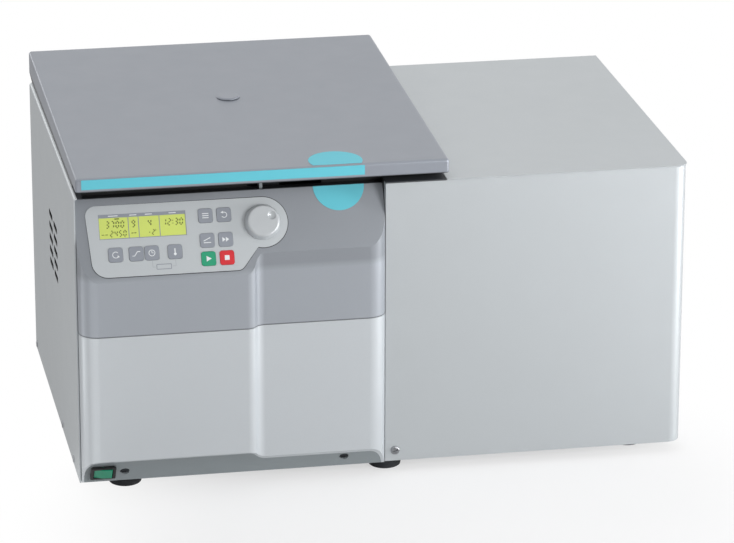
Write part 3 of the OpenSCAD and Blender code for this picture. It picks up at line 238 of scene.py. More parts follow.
def brushedMetal(name, colour, rough, along=(1, 30, 30), metal=1.0, lay=120):
    # straight grain; along is how far each axis is squeezed
    sheet = Finish(name, colour, rough, Metallic=metal)
    marks = sheet.noise(lay, 3.0, sheet.place((0, 0, 0), along))
    stain = sheet.noise(cellsOf["sheetStain"], 4.0)
    sheet.feed("Base Color", sheet.mix(marks * 0.7 + stain * 0.3,
                                       sheet.shade(0.87), sheet.shade(1.08)))
    sheet.feed("Roughness", marks * 0.15 + stain * 0.1 + (rough - 0.12))
    sheet.bump(marks, 0.02 * mm, 0.4)
    return sheet.material


def castMetal(name, colour, rough, metal=0.4, size=420, depth=0.25):
    iron = Finish(name, colour, rough, Metallic=metal)
    lumps = iron.noise(size, 4.0)
    iron.feed("Base Color", iron.mix(lumps, iron.shade(0.8), iron.shade(1.25)))
    iron.feed("Roughness", lumps * 0.2 + (rough - 0.1))
    iron.bump(lumps, depth * mm, 0.7)
    return iron.material


def foamSkin(name, colour):
    foam = Finish(name, colour, 0.95, Specular_IOR_Level=0.1)
    cells = foam.add("ShaderNodeTexVoronoi", {}, {
        "Vector": foam.place(), "Scale": cellsOf["foam"]})
    foam.feed("Base Color", foam.mix(cells, foam.shade(1.05), foam.shade(0.72)))
    foam.feed("Roughness", 1.0 - cells * 0.15)
    foam.bump(cells, -0.3 * mm)
    return foam.material


def tintedGlass(name, colour, rough=0.12):
    glass = Finish(name, colour, rough, Coat_Weight=0.6, Coat_Roughness=0.05)
    grid = glass.noise(cellsOf["glassGrain"], 0.0)
    cloud = glass.noise(cellsOf["glassCloud"], 2.0)
    glass.feed("Base Color", glass.mix(cloud, glass.shade(0.96), glass.shade(1.04)))
    glass.feed("Roughness", grid * 0.06 + (rough - 0.03))
    return glass.material


rotorAxis = (-0.1399, 0.03425, 0)
# the bands mark where painted shade or painted light starts on a paint
bands = {   # the heights between which a paint turns darker or lighter
    "fasciaFoot": (0.1976, 0.1985), "panelFoot": (0.262, 0.27), "fasciaTop": (0.3482, 0.3487),
    "deckLip": (0.3535, 0.3546), "lidFoot": (0.3633, 0.3646), "lidDisc": (0.3785, 0.3795),
}
finish = {
    "caseSilver": flakePaint("caseSilver", (195, 200, 203), 0.38, metal=0.5),
    "fasciaSilver": flakePaint("fasciaSilver", (206, 211, 215), 0.34, metal=0.5),
    # fasciaGrey is half as light below its foot, turned down as painted shade on the sloped panel
    # under the lid, and near black at its top as painted shade in the gap under the lid
    "fasciaGrey": flakePaint("fasciaGrey", (168, 173, 180), 0.34, metal=0.45,
                             dim=((bands["fasciaFoot"], 0.5, 1.0), (bands["panelFoot"], 1.0, 0.77),
                                  (bands["fasciaTop"], 1.0, 0.15))),
    # lidGrey is near black below the lid's foot: painted shade on the lid's underside over the gap
    "lidGrey": flakePaint("lidGrey", (152, 157, 166), 0.36, metal=0.4,
                          dim=((bands["lidFoot"], 0.2, 1.0),)),
    "skirtGrey": mouldedPlastic("skirtGrey", (132, 139, 142), 0.5),
    # deckGrey is darker than the case and near black below the deck's top, painted shade in the
    # gap under the lid
    "deckGrey": flakePaint("deckGrey", (72, 75, 80), 0.5,
                           dim=((bands["deckLip"], 0.1, 1.0),)),
    # linerDark is dark partly as painted shade in the gap under the lid
    "linerDark": mouldedPlastic("linerDark", (36, 38, 42), 0.7, 0.12, 900),
    "labelFilm": mouldedPlastic("labelFilm", (183, 188, 191), 0.5, 0.02, 2200),
    "keyGrey": mouldedPlastic("keyGrey", (140, 145, 154), 0.5, 0.02, 2000),
    "keyGreen": mouldedPlastic("keyGreen", (28, 152, 112), 0.45, 0.02, 2000),
    "keyRed": mouldedPlastic("keyRed", (208, 34, 44), 0.45, 0.02, 2000),
    "knobSilver": flakePaint("knobSilver", (189, 193, 196), 0.36, 0.02, 0.02, metal=0.3, coat=0.2),
    # accentFilm is lighter above the lid's top edge: painted light on the disc that faces up
    "accentFilm": flakePaint("accentFilm", (100, 191, 206), 0.45, 0.01, 0.015, gloss=0.2,
                             dim=((bands["lidDisc"], 1.0, 1.42),)),
    "lcdGlass": tintedGlass("lcdGlass", (206, 220, 110)),
    "blackPlastic": mouldedPlastic("blackPlastic", (19, 20, 22), 0.5, 0.06, 1200),
    "rockerGreen": mouldedPlastic("rockerGreen", (22, 138, 104), 0.4, 0.01, 2000, coat=0.15),
    "footRubber": softRubber("footRubber", (34, 36, 39)),
    "sealRubber": softRubber("sealRubber", (26, 27, 29)),
    "screwSteel": brushedMetal("screwSteel", (172, 174, 178), 0.36, (1, 1, 1), lay=900),
    "screwDark": brushedMetal("screwDark", (70, 73, 77), 0.5, (1, 1, 1), lay=900),
    "bowlSteel": turnedMetal("bowlSteel", (226, 229, 232), 0.42, rotorAxis, metal=0.7),
    "turnedSteel": turnedMetal("turnedSteel", (186, 188, 192), 0.26, rotorAxis, 1600),
    "rotorAlloy": turnedMetal("rotorAlloy", (204, 208, 214), 0.38, rotorAxis, 1200, 0.6),
    "blackAnodised": brushedMetal("blackAnodised", (44, 46, 50), 0.4, (1, 1, 1), 0.6, 700),
    "hingeSteel": brushedMetal("hingeSteel", (150, 153, 157), 0.36),
    "traySteel": brushedMetal("traySteel", (170, 173, 176), 0.42, (30, 1, 30)),
    "foamDark": foamSkin("foamDark", (46, 48, 50)),
    "copperTube": castMetal("copperTube", (196, 122, 84), 0.32, 1.0, 160, 0.02),
    "motorBlack": castMetal("motorBlack", (58, 61, 65), 0.55),
    "compressorBlack": castMetal("compressorBlack", (36, 37, 39), 0.4, 0.2, 240, 0.08),
    "lockBlack": castMetal("lockBlack", (52, 54, 58), 0.5, 0.3),
    "boardGreen": mouldedPlastic("boardGreen", (28, 96, 58), 0.35, 0.02, 500),
    "heatSink": brushedMetal("heatSink", (120, 122, 126), 0.42, (30, 30, 1)),
    "finAlloy": brushedMetal("finAlloy", (186, 188, 192), 0.34, (30, 30, 1)),
    "inkDark": mouldedPlastic("inkDark", (52, 54, 58), 0.5, 0.01, 2000),
    "inkPale": mouldedPlastic("inkPale", (226, 229, 231), 0.5, 0.01, 2000),
    "inkLcd": mouldedPlastic("inkLcd", (92, 100, 40), 0.3, 0.01, 2000),
}
slotFinish = {
    "tray_steel": "traySteel", "foot_rubber": "footRubber", "panel_paint": "caseSilver",
    "fascia_silver": "fasciaSilver", "fascia_grey": "fasciaGrey", "skirt_grey": "skirtGrey",
    "deck_grey": "deckGrey", "screw_steel": "screwSteel", "bowl_steel": "bowlSteel",
    "seal_rubber": "sealRubber", "foam": "foamDark", "copper": "copperTube",
    "motor_black": "motorBlack", "turned_steel": "turnedSteel", "rotor_aluminium": "rotorAlloy",
    "black_anodised": "blackAnodised", "hinge_steel": "hingeSteel", "lid_grey": "lidGrey",
    "liner_dark": "linerDark", "accent_film": "accentFilm", "lock_cast": "lockBlack",
    "plate_film": "labelFilm", "lcd_glass": "lcdGlass", "board_green": "boardGreen",
    "knob_silver": "knobSilver", "key_grey": "keyGrey", "key_green": "keyGreen",
    "key_red": "keyRed", "black_plastic": "blackPlastic", "rocker_green": "rockerGreen",
    "heatsink": "heatSink", "compressor_black": "compressorBlack", "fin_aluminium": "finAlloy",
}
nodeFinish = {"lid_striker": "skirtGrey"}   # dressed otherwise than their slot
for node, solid in solids.items():
    solid.data.materials.clear()
    solid.data.materials.append(finish[nodeFinish.get(node, slotFinish[slotOf[node]])])
print("finishes:", len(finish))


def newPiece(name, mesh, body, material=None):
    piece = bpy.data.objects.new(name, mesh)
    bpy.context.scene.collection.objects.link(piece)
    if material:
        mesh.materials.clear()
        mesh.materials.append(finish[material])
    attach(piece, body)
    return piece


cleaning = {"weld": 0.01, "flat": 0.4, "sharp": 32, "fold": 20}   # millimetres, then degrees


def softened(node, width, segments=2, fold=0):
    # a copy of a solid with its sharp edges rounded, in place of the solid; fold is the
    # larger radius for its shallow folds
    shape = bmesh.new()
    shape.from_mesh(solids[node].data)
    bmesh.ops.remove_doubles(shape, verts=shape.verts, dist=cleaning["weld"] * mm)
    bmesh.ops.dissolve_limit(shape, angle_limit=math.radians(cleaning["flat"]),
                             verts=shape.verts, edges=shape.edges)
    reach = max(width, fold)
    weight = shape.edges.layers.float.new("bevel_weight_edge")
    for edge in shape.edges:
        turn = math.degrees(edge.calc_face_angle(0))
        if turn > cleaning["sharp"]:
            edge[weight] = width / reach
        elif fold and turn > cleaning["fold"]:
            edge[weight] = 1
    mesh = bpy.data.meshes.new(node + "_soft")
    shape.to_mesh(mesh)
    shape.free()
    mesh.polygons.foreach_set("use_smooth", [True] * len(mesh.polygons))
    piece = newPiece(node + "_soft", mesh, bodyOf[node], slotFinish[slotOf[node]])
    bevel = piece.modifiers.new("edges", "BEVEL")
    bevel.width = reach * mm
    bevel.segments = segments
    bevel.limit_method = "WEIGHT"
    bevel.use_clamp_overlap = True
    bevel.miter_outer = "MITER_ARC"
    normals = piece.modifiers.new("normals", "WEIGHTED_NORMAL")
    normals.keep_sharp = False
    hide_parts(node)


softEdges = {   # edge radius in millimetres
    "left_side_panel": 0.5, "cooling_wrap_panel": 0.5, "cooling_top_cover": 0.8, "rear_panel": 0.4,
    "lower_fascia": 0.8, "upper_fascia": 1.2, "front_skirt": 0.4, "control_plate": 0.3,
    "lid_shell": 0.8, "lid_liner": 0.6, "knob": 0.4, "rocker_frame": 0.5, "rocker_key": 0.5,
    "base_tray": 0.4, "chamber_deck": 0.5, "power_inlet": 0.4, "rotor_yoke": 0.8, "rotor_nut": 0.6,
    "bucket_left": 0.5, "bucket_right": 0.5, "lock_housing": 0.6, "hinge_brackets": 0.4,
    "hinge_leaves": 0.4, "trunnion_pins": 0.3, "feet": 0.8, "port_plug": 0.5, "motor_plate": 0.4,
    "drive_motor": 0.8, "compressor": 1.5, "fan_shroud": 0.5, "cooling_fan": 0.4, "partition": 0.3,
}
softFolds = {"upper_fascia": {"fold": 6, "segments": 4}}
keyEdge = {"width": 0.35, "segments": 3}
for node, width in softEdges.items():
    softened(node, width, **softFolds.get(node, {}))
for node in slotOf:
    if node.startswith("key_"):
        softened(node, **keyEdge)
print("shells:", len(softEdges))


# flat artwork, drawn in millimetres on a surface and raised a hair above it
caseCorner = (-356.9, -230.75, 13)
panel = {"foot": (0, -26.5, 250), "lean": 62}
caseAt = Matrix.Translation(Vector(caseCorner) * mm) @ Matrix.Diagonal((mm, mm, mm, 1))
panelAt = (caseAt @ Matrix.Translation(panel["foot"])
           @ Matrix.Rotation(math.radians(panel["lean"]), 4, "X"))
fromMetres = Matrix.Diagonal((1 / mm, 1 / mm, 1 / mm, 1))   # for forms drawn in metres


def bar(x0, y0, x1, y1, width):
    along = Vector((x1 - x0, y1 - y0)).normalized() * width / 2
    side = Vector((-along.y, along.x))
    return [(x0 + side.x, y0 + side.y), (x0 - side.x, y0 - side.y),
            (x1 - side.x, y1 - side.y), (x1 + side.x, y1 + side.y)]


def sweep(x, y, radius, start=0, end=360, steps=24):
    return [(x + radius * math.cos(math.radians(start + (end - start) * i / steps)),
             y + radius * math.sin(math.radians(start + (end - start) * i / steps)))
            for i in range(steps + 1)]


def hoop(x, y, radius, width, start=0, end=360, steps=24):
    return between(sweep(x, y, radius + width / 2, start, end, steps),
                   sweep(x, y, radius - width / 2, start, end, steps))


def between(outer, inner):
    return [[outer[i], outer[i + 1], inner[i + 1], inner[i]] for i in range(len(outer) - 1)]


def roundedBox(x, y, width, height, radius, steps=5):
    points = []
    for quarter, (sx, sy) in enumerate(((1, -1), (1, 1), (-1, 1), (-1, -1))):
        points += sweep(x + sx * (width / 2 - radius), y + sy * (height / 2 - radius), radius,
                        quarter * 90 - 90, quarter * 90, steps)
    return points


def closed(points):
    return points + points[:1]


def flatArt(name, outlines, place, low, high, body, material):
    shape = bmesh.new()
    for outline in outlines:
        shape.faces.new([shape.verts.new((x, y, low)) for x, y in outline])
    bmesh.ops.remove_doubles(shape, verts=shape.verts, dist=0.002)
    for face in shape.faces:
        face.normal_update()
        if face.normal.z < 0:
            face.normal_flip()
    grown = bmesh.ops.extrude_face_region(shape, geom=shape.faces[:])
    for part in grown["geom"]:
        if isinstance(part, bmesh.types.BMVert):
            part.co.z = high
    bmesh.ops.recalc_face_normals(shape, faces=shape.faces)
    mesh = bpy.data.meshes.new(name)
    shape.to_mesh(mesh)
    shape.free()
    mesh.transform(place)
    return newPiece(name, mesh, body, material)


# the bars of each figure, and its proportions as shares of its height
digitBars = {"0": "abcdef", "1": "bc", "2": "abged", "3": "abgcd", "4": "fgbc", "5": "afgcd",
             "6": "afgedc", "7": "abc", "8": "abcdefg", "9": "abcdfg", "-": "g"}
figure = {"wide": 0.5, "thick": 0.15, "gap": 0.01, "lean": 0.1, "step": 0.66, "colonStep": 0.3,
          "colonAt": 0.12, "colonDots": (0.3, 0.68), "dot": 0.07}


def digit(sign, x, y, height):
    # seven-segment figure with its low left corner at x, y
    width, thick, gap = (height * figure[key] for key in ("wide", "thick", "gap"))
    low, mid, high = y + thick / 2, y + height / 2, y + height - thick / 2
    left, right = x + thick / 2, x + width - thick / 2
    ends = {"a": (left, high, right, high), "g": (left, mid, right, mid),
            "d": (left, low, right, low), "f": (left, mid, left, high),
            "b": (right, mid, right, high), "e": (left, low, left, mid),
            "c": (right, low, right, mid)}
    bars = []
    for key in digitBars[sign]:
        x0, y0, x1, y1 = ends[key]
        reach = Vector((x1 - x0, y1 - y0)).normalized() * (thick / 2 + gap)
        upright = bar(x0 + reach.x, y0 + reach.y, x1 - reach.x, y1 - reach.y, thick)
        bars.append([(px + (py - y) * figure["lean"], py) for px, py in upright])
    return bars


def figures(text, x, y, height):
    bars = []
    for sign in text:
        if sign == ":":
            bars += [sweep(x + height * figure["colonAt"], y + height * part,
                           height * figure["dot"], steps=7)[:-1] for part in figure["colonDots"]]
            x += height * figure["colonStep"]
        else:
            bars += digit(sign, x, y, height)
            x += height * figure["step"]
    return bars


plate = {"top": 0.8, "film": 0.04, "lobe": 29, "line": 0.8, "leads": (86.5, 112.9),
         "mark": (99.3, 14.8), "markSize": (17.6, 6.4), "markLine": 0.9, "leadTop": 22.0,
         "leadReach": 9.4, "leadWidth": 0.3}
knobAt = (215.3, 59)


def plateOutline(grow):
    # the control plate's outline, drawn out by grow
    top = knobAt[1] + plate["lobe"] + grow
    return (sweep(26, top - 12 - grow, 12, 90, 175, 8)
            + sweep(36 + grow * 0.4, 24, 18.4 + grow, 188, 270, 10)
            + sweep(183, 16, 10.4 + grow, 270, 322, 6)
            + sweep(*knobAt, plate["lobe"] + grow, -104, 90, 36))


def controlPlateArt():
    # a dark ring round the plate's outline is a painted shadow of its edge
    line = between(closed(plateOutline(plate["line"])), closed(plateOutline(0.02)))
    flatArt("plate_shadow_line", line, panelAt, 0.02, 0.3, "case", "inkDark")
    top, (x0, y0), (width, height) = plate["top"], plate["mark"], plate["markSize"]
    marks = between(closed(roundedBox(x0, y0, width, height, 1.2)),
                    closed(roundedBox(x0, y0, width - 2 * plate["markLine"],
                                      height - 2 * plate["markLine"], 0.5)))
    for x in plate["leads"]:   # thin lines from the two keys down to the mark
        side = math.copysign(plate["leadReach"], x - x0)
        marks.append(bar(x, plate["leadTop"], x, y0, plate["leadWidth"]))
        marks.append(bar(x, y0, x0 + side, y0, plate["leadWidth"]))
    flatArt("plate_marks", marks, panelAt, top, top + plate["film"], "case",
            "keyGrey")


screen = {"x0": 28.3, "x1": 128.1, "y0": 49.2, "y1": 77.9, "header": 73.7, "glass": 0.5,
          "dividers": (62.4, 74.0, 97.8), "labelAt": 75.8, "labelWidth": 0.9,
          "labels": ((45.5, 5.5), (68.2, 4), (86, 4), (113, 4)),   # middle and half length
          # each reading's left end, foot and height
          "readings": (("3700", 36.0, 61.6, 8.6), ("2450", 40.5, 51.6, 7.6),
                       ("9", 65.6, 61.6, 8.6), ("4", 84.0, 61.6, 8.6),
                       ("-2", 84.0, 51.8, 6.4), ("12:30", 101.0, 61.4, 8.4)),
          "dashes": ((31.2, 54.6, 34.4, 54.6, 0.8), (35.4, 54.6, 38.4, 54.6, 0.8),
                     (65.2, 55.2, 67.6, 55.2, 1.0), (68.4, 55.2, 70.8, 55.2, 1.0),
                     (47, 72.2, 52.4, 72.2, 1.2)),
          "degree": (92.4, 57.2, 0.8, 0.4)}


def displayArt():
    x0, x1, y0, y1, head = (screen[key] for key in ("x0", "x1", "y0", "y1", "header"))
    glass = screen["glass"]
    lines = [bar(x0, (head + y1) / 2, x1, (head + y1) / 2, y1 - head)]
    lines += [bar(x0, y0 + 0.4, x1, y0 + 0.4, 0.8), bar(x0 + 0.4, y0 + 0.8, x0 + 0.4, head, 0.8),
              bar(x1 - 0.4, y0 + 0.8, x1 - 0.4, head, 0.8)]
    lines += [bar(x, y0 + 0.8, x, head, 0.9) for x in screen["dividers"]]
    flatArt("display_frame", lines, panelAt, glass, glass + 0.06, "case", "keyGrey")
    labelAt = screen["labelAt"]
    labels = [bar(x - half, labelAt, x + half, labelAt, screen["labelWidth"])
              for x, half in screen["labels"]]
    flatArt("display_labels", labels, panelAt, glass + 0.06, glass + 0.1, "case",
            "inkPale")
    text = []
    for reading in screen["readings"]:
        text += figures(*reading)
    text += [bar(*dash) for dash in screen["dashes"]] + hoop(*screen["degree"], steps=10)
    flatArt("display_figures", text, panelAt, glass, glass + 0.03, "case", "inkLcd")


# each key's sign, drawn about its middle
keySigns = {
    "key_rpm": hoop(0, 0, 3.4, 0.8, 40, 330) + [[(4.6, -2.6), (2.3, -0.2), (1.6, -3.6)]],
    "key_ramp": [bar(-4.6, -2.4, -2.0, -2.4, 0.8), bar(-2.1, -2.5, 1.4, 2.5, 0.8),
                 bar(1.4, 2.4, 4.6, 2.4, 0.8)],
    "key_time": hoop(0, 0, 3.4, 0.8) + [bar(0, 0, 0, 2.4, 0.7), bar(0.35, 0, 1.9, 0, 0.7)],
    "key_temp": [bar(0, -1.2, 0, 3.9, 1.2), sweep(0, -2.6, 1.6, steps=16)[:-1]],
    "key_program": [bar(-3.6, y, 3.6, y, 0.9) for y in (-2.4, 0, 2.4)],
    "key_recall": hoop(0.4, -0.2, 3.0, 0.8, -150, 110) + [[(-0.6, 4.4), (-0.6, 1.2), (-3.6, 2.8)]],
    "key_lid": [bar(-4.2, -2.6, 4.2, -2.6, 0.9), bar(-4.2, -0.6, 3.6, 3.0, 0.9)],
    "key_quick": [[(-3.8, 2.8), (-3.8, -2.8), (-0.2, 0)], [(0.2, 2.8), (0.2, -2.8), (3.8, 0)]],
    "key_start": [[(-2.4, 3.2), (-2.4, -3.2), (3.4, 0)]],
    "key_stop": [bar(-2.7, 0, 2.7, 0, 5.4)],
}
keyAt = {"key_rpm": (45.3, 31), "key_ramp": (68.8, 31), "key_time": (86.5, 31),
         "key_temp": (112.9, 31), "key_program": (150.5, 70.1), "key_recall": (171.6, 70.1),
         "key_lid": (150.5, 41.7), "key_quick": (171.6, 41.7), "key_start": (150.5, 20.7),
         "key_stop": (171.6, 20.7)}
keyTop = 1.4


def keyArt():
    for node, outlines in keySigns.items():
        at = panelAt @ Matrix.Translation((*keyAt[node], 0))
        flatArt(node + "_sign", outlines, at, keyTop, keyTop + 0.04, node, "inkPale")


controlPlateArt()
displayArt()
keyArt()
print("control plate: signs on", len(keySigns), "keys")


growthSharp = 38   # degrees of turn past which a grown edge stays sharp


class Growth(NodeTree):
    # a Geometry Nodes tree with named inputs; grow runs it once and keeps a plain mesh
    def __init__(self, name, **inputs):
        super().__init__(bpy.data.node_groups.new(name, "GeometryNodeTree"))
        face = self.tree.interface
        face.new_socket("Geometry", in_out="OUTPUT", socket_type="NodeSocketGeometry")
        face.new_socket("Geometry", in_out="INPUT", socket_type="NodeSocketGeometry")
        self.values = inputs
        self.keys = {key: face.new_socket(key, in_out="INPUT", socket_type="NodeSocket"
                                          + type(value).__name__.title()).identifier
                     for key, value in inputs.items()}
        self.keys["Material"] = face.new_socket("Material", in_out="INPUT",
                                                socket_type="NodeSocketMaterial").identifier
        self.entry = self.tree.nodes.new("NodeGroupInput")

    def given(self, key="Geometry"):
        return Wire(self, self.entry.outputs[key])

    def ends(self, geometry):
        real = self.add("GeometryNodeRealizeInstances", {}, {0: geometry})
        dressed = self.add("GeometryNodeSetMaterial", {}, {
            "Geometry": real, "Material": self.given("Material")})
        leave = self.tree.nodes.new("NodeGroupOutput")
        self.tree.links.new(dressed.socket, leave.inputs[0])
        return self

    def grow(self, name, host, place, body, slot, material, **values):
        stand = bpy.data.objects.new(name, host)
        bpy.context.scene.collection.objects.link(stand)
        growth = stand.modifiers.new("growth", "NODES")
        growth.node_group = self.tree
        for key, value in {**self.values, **values, "Material": finish[material]}.items():
            growth[self.keys[key]] = value
        bpy.context.view_layer.update()
        seen = stand.evaluated_get(bpy.context.evaluated_depsgraph_get())
        mesh = bpy.data.meshes.new_from_object(seen)
        bpy.data.objects.remove(stand)
        mesh.transform(place)
        shape = bmesh.new()
        shape.from_mesh(mesh)
        bmesh.ops.recalc_face_normals(shape, faces=shape.faces)
        shape.to_mesh(mesh)
        shape.free()
        mesh.polygons.foreach_set("use_smooth", [True] * len(mesh.polygons))
        mesh.set_sharp_from_angle(angle=math.radians(growthSharp))
        return newPiece(name, mesh, body)


def outlineMesh(name, points, loop=True):
    # points joined by edges, as a profile or a host for a growth
    mesh = bpy.data.meshes.new(name)
    count = len(points)
    mesh.from_pydata([(x, y, 0) for x, y in points],
                     [(i, (i + 1) % count) for i in range(count if loop else count - 1)], [])
    return mesh


def ringSweep():
    # a profile swept round an upright axis, with a soft uneven skin
    tree = Growth("ringSweep", Radius=0.1, Segments=180, Swell=0.0, Grain=40.0)
    ring = tree.add("GeometryNodeCurvePrimitiveCircle", {}, {
        "Resolution": tree.given("Segments"), "Radius": tree.given("Radius")})
    profile = tree.add("GeometryNodeMeshToCurve", {}, {0: tree.given()})
    swept = tree.add("GeometryNodeCurveToMesh", {}, {"Curve": ring, "Profile Curve": profile})
    grain = tree.add("ShaderNodeTexNoise", {}, {"Scale": tree.given("Grain"), "Detail": 4.0})
    push = tree.add("ShaderNodeVectorMath", {"operation": "SCALE"}, {
        0: tree.add("GeometryNodeInputNormal", {}, {}),
        "Scale": (grain - 0.5) * tree.given("Swell")})
    return tree.ends(tree.add("GeometryNodeSetPosition", {}, {"Geometry": swept, "Offset": push}))


def slotRims():
    # a grid of slots, each with a rolled rim
    tree = Growth("slotRims", Columns=2, Rows=5, Across=0.0475, Up=0.0152, Length=0.037,
                  Height=0.008, Rim=0.0004)
    length, height = tree.given("Length"), tree.given("Height")
    slot = tree.add("GeometryNodeCurvePrimitiveQuadrilateral", {}, {
        "Width": length, "Height": height})
    slot = tree.add("GeometryNodeFilletCurve", {"mode": "POLY"}, {
        "Curve": slot, "Count": 6, "Radius": height * 0.495})
    wire = tree.add("GeometryNodeCurvePrimitiveCircle", {}, {
        "Resolution": 8, "Radius": tree.given("Rim")})
    rim = tree.add("GeometryNodeCurveToMesh", {}, {"Curve": slot, "Profile Curve": wire})
    columns, rows = tree.given("Columns"), tree.given("Rows")
    grid = tree.add("GeometryNodeMeshGrid", {}, {
        "Size X": (columns - 1.0) * tree.given("Across"),
        "Size Y": (rows - 1.0) * tree.given("Up"), "Vertices X": columns, "Vertices Y": rows})
    return tree.ends(tree.add("GeometryNodeInstanceOnPoints", {}, {
        "Points": grid, "Instance": rim}))


def woundTube():
    # a round tube wound as a helix
    tree = Growth("woundTube", Turns=7.0, Radius=0.17, Rise=0.084, Tube=0.004, Steps=64)
    path = tree.add("GeometryNodeCurveSpiral", {}, {
        "Resolution": tree.given("Steps"), "Rotations": tree.given("Turns"),
        "Start Radius": tree.given("Radius"), "End Radius": tree.given("Radius"),
        "Height": tree.given("Rise")})
    wire = tree.add("GeometryNodeCurvePrimitiveCircle", {}, {
        "Resolution": 14, "Radius": tree.given("Tube")})
    return tree.ends(tree.add("GeometryNodeCurveToMesh", {}, {
        "Curve": path, "Profile Curve": wire, "Fill Caps": True}))


def headStamp(head):
    # screw heads set on points, each turned to its facing and spun by chance
    tree = Growth("headStamp", Seed=7, Size=1.0)
    facing = tree.add("GeometryNodeInputNamedAttribute", {"data_type": "FLOAT_VECTOR"},
                      {"Name": "facing"})
    turned = tree.add("FunctionNodeAlignRotationToVector", {"axis": "Z"}, {"Vector": facing})
    spin = tree.add("FunctionNodeRandomValue", {"data_type": "FLOAT_VECTOR"}, {
        0: (0, 0, 0), 1: (0, 0, math.pi / 2), "Seed": tree.given("Seed")})
    turned = tree.add("FunctionNodeRotateRotation", {"rotation_space": "LOCAL"}, {
        "Rotation": turned, "Rotate By": spin})
    info = tree.add("GeometryNodeObjectInfo", {}, {"Object": head}, "Geometry")
    return tree.ends(tree.add("GeometryNodeInstanceOnPoints", {}, {
        "Points": tree.given(), "Instance": info, "Rotation": turned,
        "Scale": tree.given("Size")}))


crossRecess = {"reach": 0.31, "arm": 0.065, "taper": 0.7, "floor": 0.3,   # shares of the head
               "dome": ((0.5, 0.0), (0.5, 0.35), (0.44, 0.75), (0.36, 1.0)), "sides": 24}


def crossHead(width, height):
    # a domed head with a cross recess, its seat on the XY plane
    shape = bmesh.new()
    cut, arm = width * crossRecess["reach"], width * crossRecess["arm"]
    sides = crossRecess["sides"]
    cross = [(cut, -arm), (cut, arm), (arm, arm), (arm, cut), (-arm, cut), (-arm, arm),
             (-cut, arm), (-cut, -arm), (-arm, -arm), (-arm, -cut), (arm, -cut), (arm, -arm)]
    rings = [[shape.verts.new((x, y, height * level))
              for x, y in sweep(0, 0, width * part, steps=sides)[:-1]]
             for part, level in crossRecess["dome"]]
    top = [shape.verts.new((x, y, height)) for x, y in cross]
    taper, floor = crossRecess["taper"], height * crossRecess["floor"]
    deep = [shape.verts.new((x * taper, y * taper, floor)) for x, y in cross]
    for lower, upper in [*zip(rings, rings[1:]), (top, deep)]:
        count = len(lower)
        for i in range(count):
            after = (i + 1) % count
            shape.faces.new([lower[i], lower[after], upper[after], upper[i]])
    shape.faces.new(deep)
    shape.faces.new(rings[0])
    edges = [shape.edges.get([ring[i], ring[(i + 1) % len(ring)]])
             for ring in (top, rings[-1]) for i in range(len(ring))]
    bmesh.ops.triangle_fill(shape, edges=edges, use_beauty=True)
    bmesh.ops.recalc_face_normals(shape, faces=shape.faces)
    mesh = bpy.data.meshes.new("crossHead")
    shape.to_mesh(mesh)
    shape.free()
    return bpy.data.objects.new("crossHead", mesh)


def facingPoints(name, spots):
    # a host mesh of points in case millimetres, each with the way its head faces
    mesh = bpy.data.meshes.new(name)
    mesh.from_pydata([caseAt @ Vector(spot) for spot, facing in spots], [], [])
    wayOut = mesh.attributes.new("facing", "FLOAT_VECTOR", "POINT")
    wayOut.data.foreach_set("vector", [part for spot, facing in spots for part in facing])
    return mesh


chamber = {"deck": 342, "floor": 206, "axis": (217, 265)}   # in case millimetres
whole = Matrix.Identity(4)
upright = caseAt @ Matrix.Translation((*chamber["axis"], 0)) @ fromMetres
sealAt = {"ring": 170.5, "wide": 4.5, "high": 4.4, "middle": 3.3}
gaiterAt = {"length": 35, "drop": 37.0, "radius": 32.9, "wave": 2.9, "wall": 2.6, "folds": 3}
foamAt = {"drop": 10, "gap": 3.5, "inner": 5.6, "outer": 15}   # inner and outer past the coil
coilAt = {"radius": 171.4, "low": 230.0, "pitch": 12.0, "turns": 7, "tube": 4.0}
onAxis = 0.001 * mm   # a ring this small leaves a profile at its own radius


def sealForm():
    # hollow bulb gasket: a bulb on a foot with two barbs
    bulb = [(sealAt["wide"] * math.cos(math.radians(a)),
             sealAt["middle"] + sealAt["high"] * math.sin(math.radians(a)))
            for a in range(-40, 221, 20)]
    foot = [(-2.9, 0.4), (-4.2, 0.2), (-4.2, -0.15), (4.2, -0.15), (4.2, 0.2), (2.9, 0.4)]
    return [(x * mm, -y * mm) for x, y in bulb + foot]


def gaiterForm(steps=16):
    # bellows profile with rounded folds, from the motor up to the bowl
    rise = gaiterAt["length"] / gaiterAt["folds"]
    outer = [(gaiterAt["radius"] + gaiterAt["wave"] * math.cos(math.tau * (i / steps - 0.25)),
              rise * i / steps) for i in range(steps * gaiterAt["folds"] + 1)]
    inner = [(x - gaiterAt["wall"], z) for x, z in reversed(outer)]
    return [(x * mm, -z * mm) for x, z in outer + inner]


def foamForm():
    # a moulded block with a chamfered shoulder
    low, high = chamber["floor"] - foamAt["drop"], chamber["deck"] - foamAt["gap"]
    inner, outer = coilAt["radius"] + foamAt["inner"], coilAt["radius"] + foamAt["outer"]
    return [(x * mm, -z * mm) for x, z in (
        (inner, low), (outer - 4, low), (outer - 0.5, low + 4), (outer - 0.5, high - 3),
        (outer - 3, high), (inner, high))]


sweepTree, rimTree, tubeTree = ringSweep(), slotRims(), woundTube()


def atHeight(z):
    return upright @ Matrix.Translation((0, 0, z * mm))


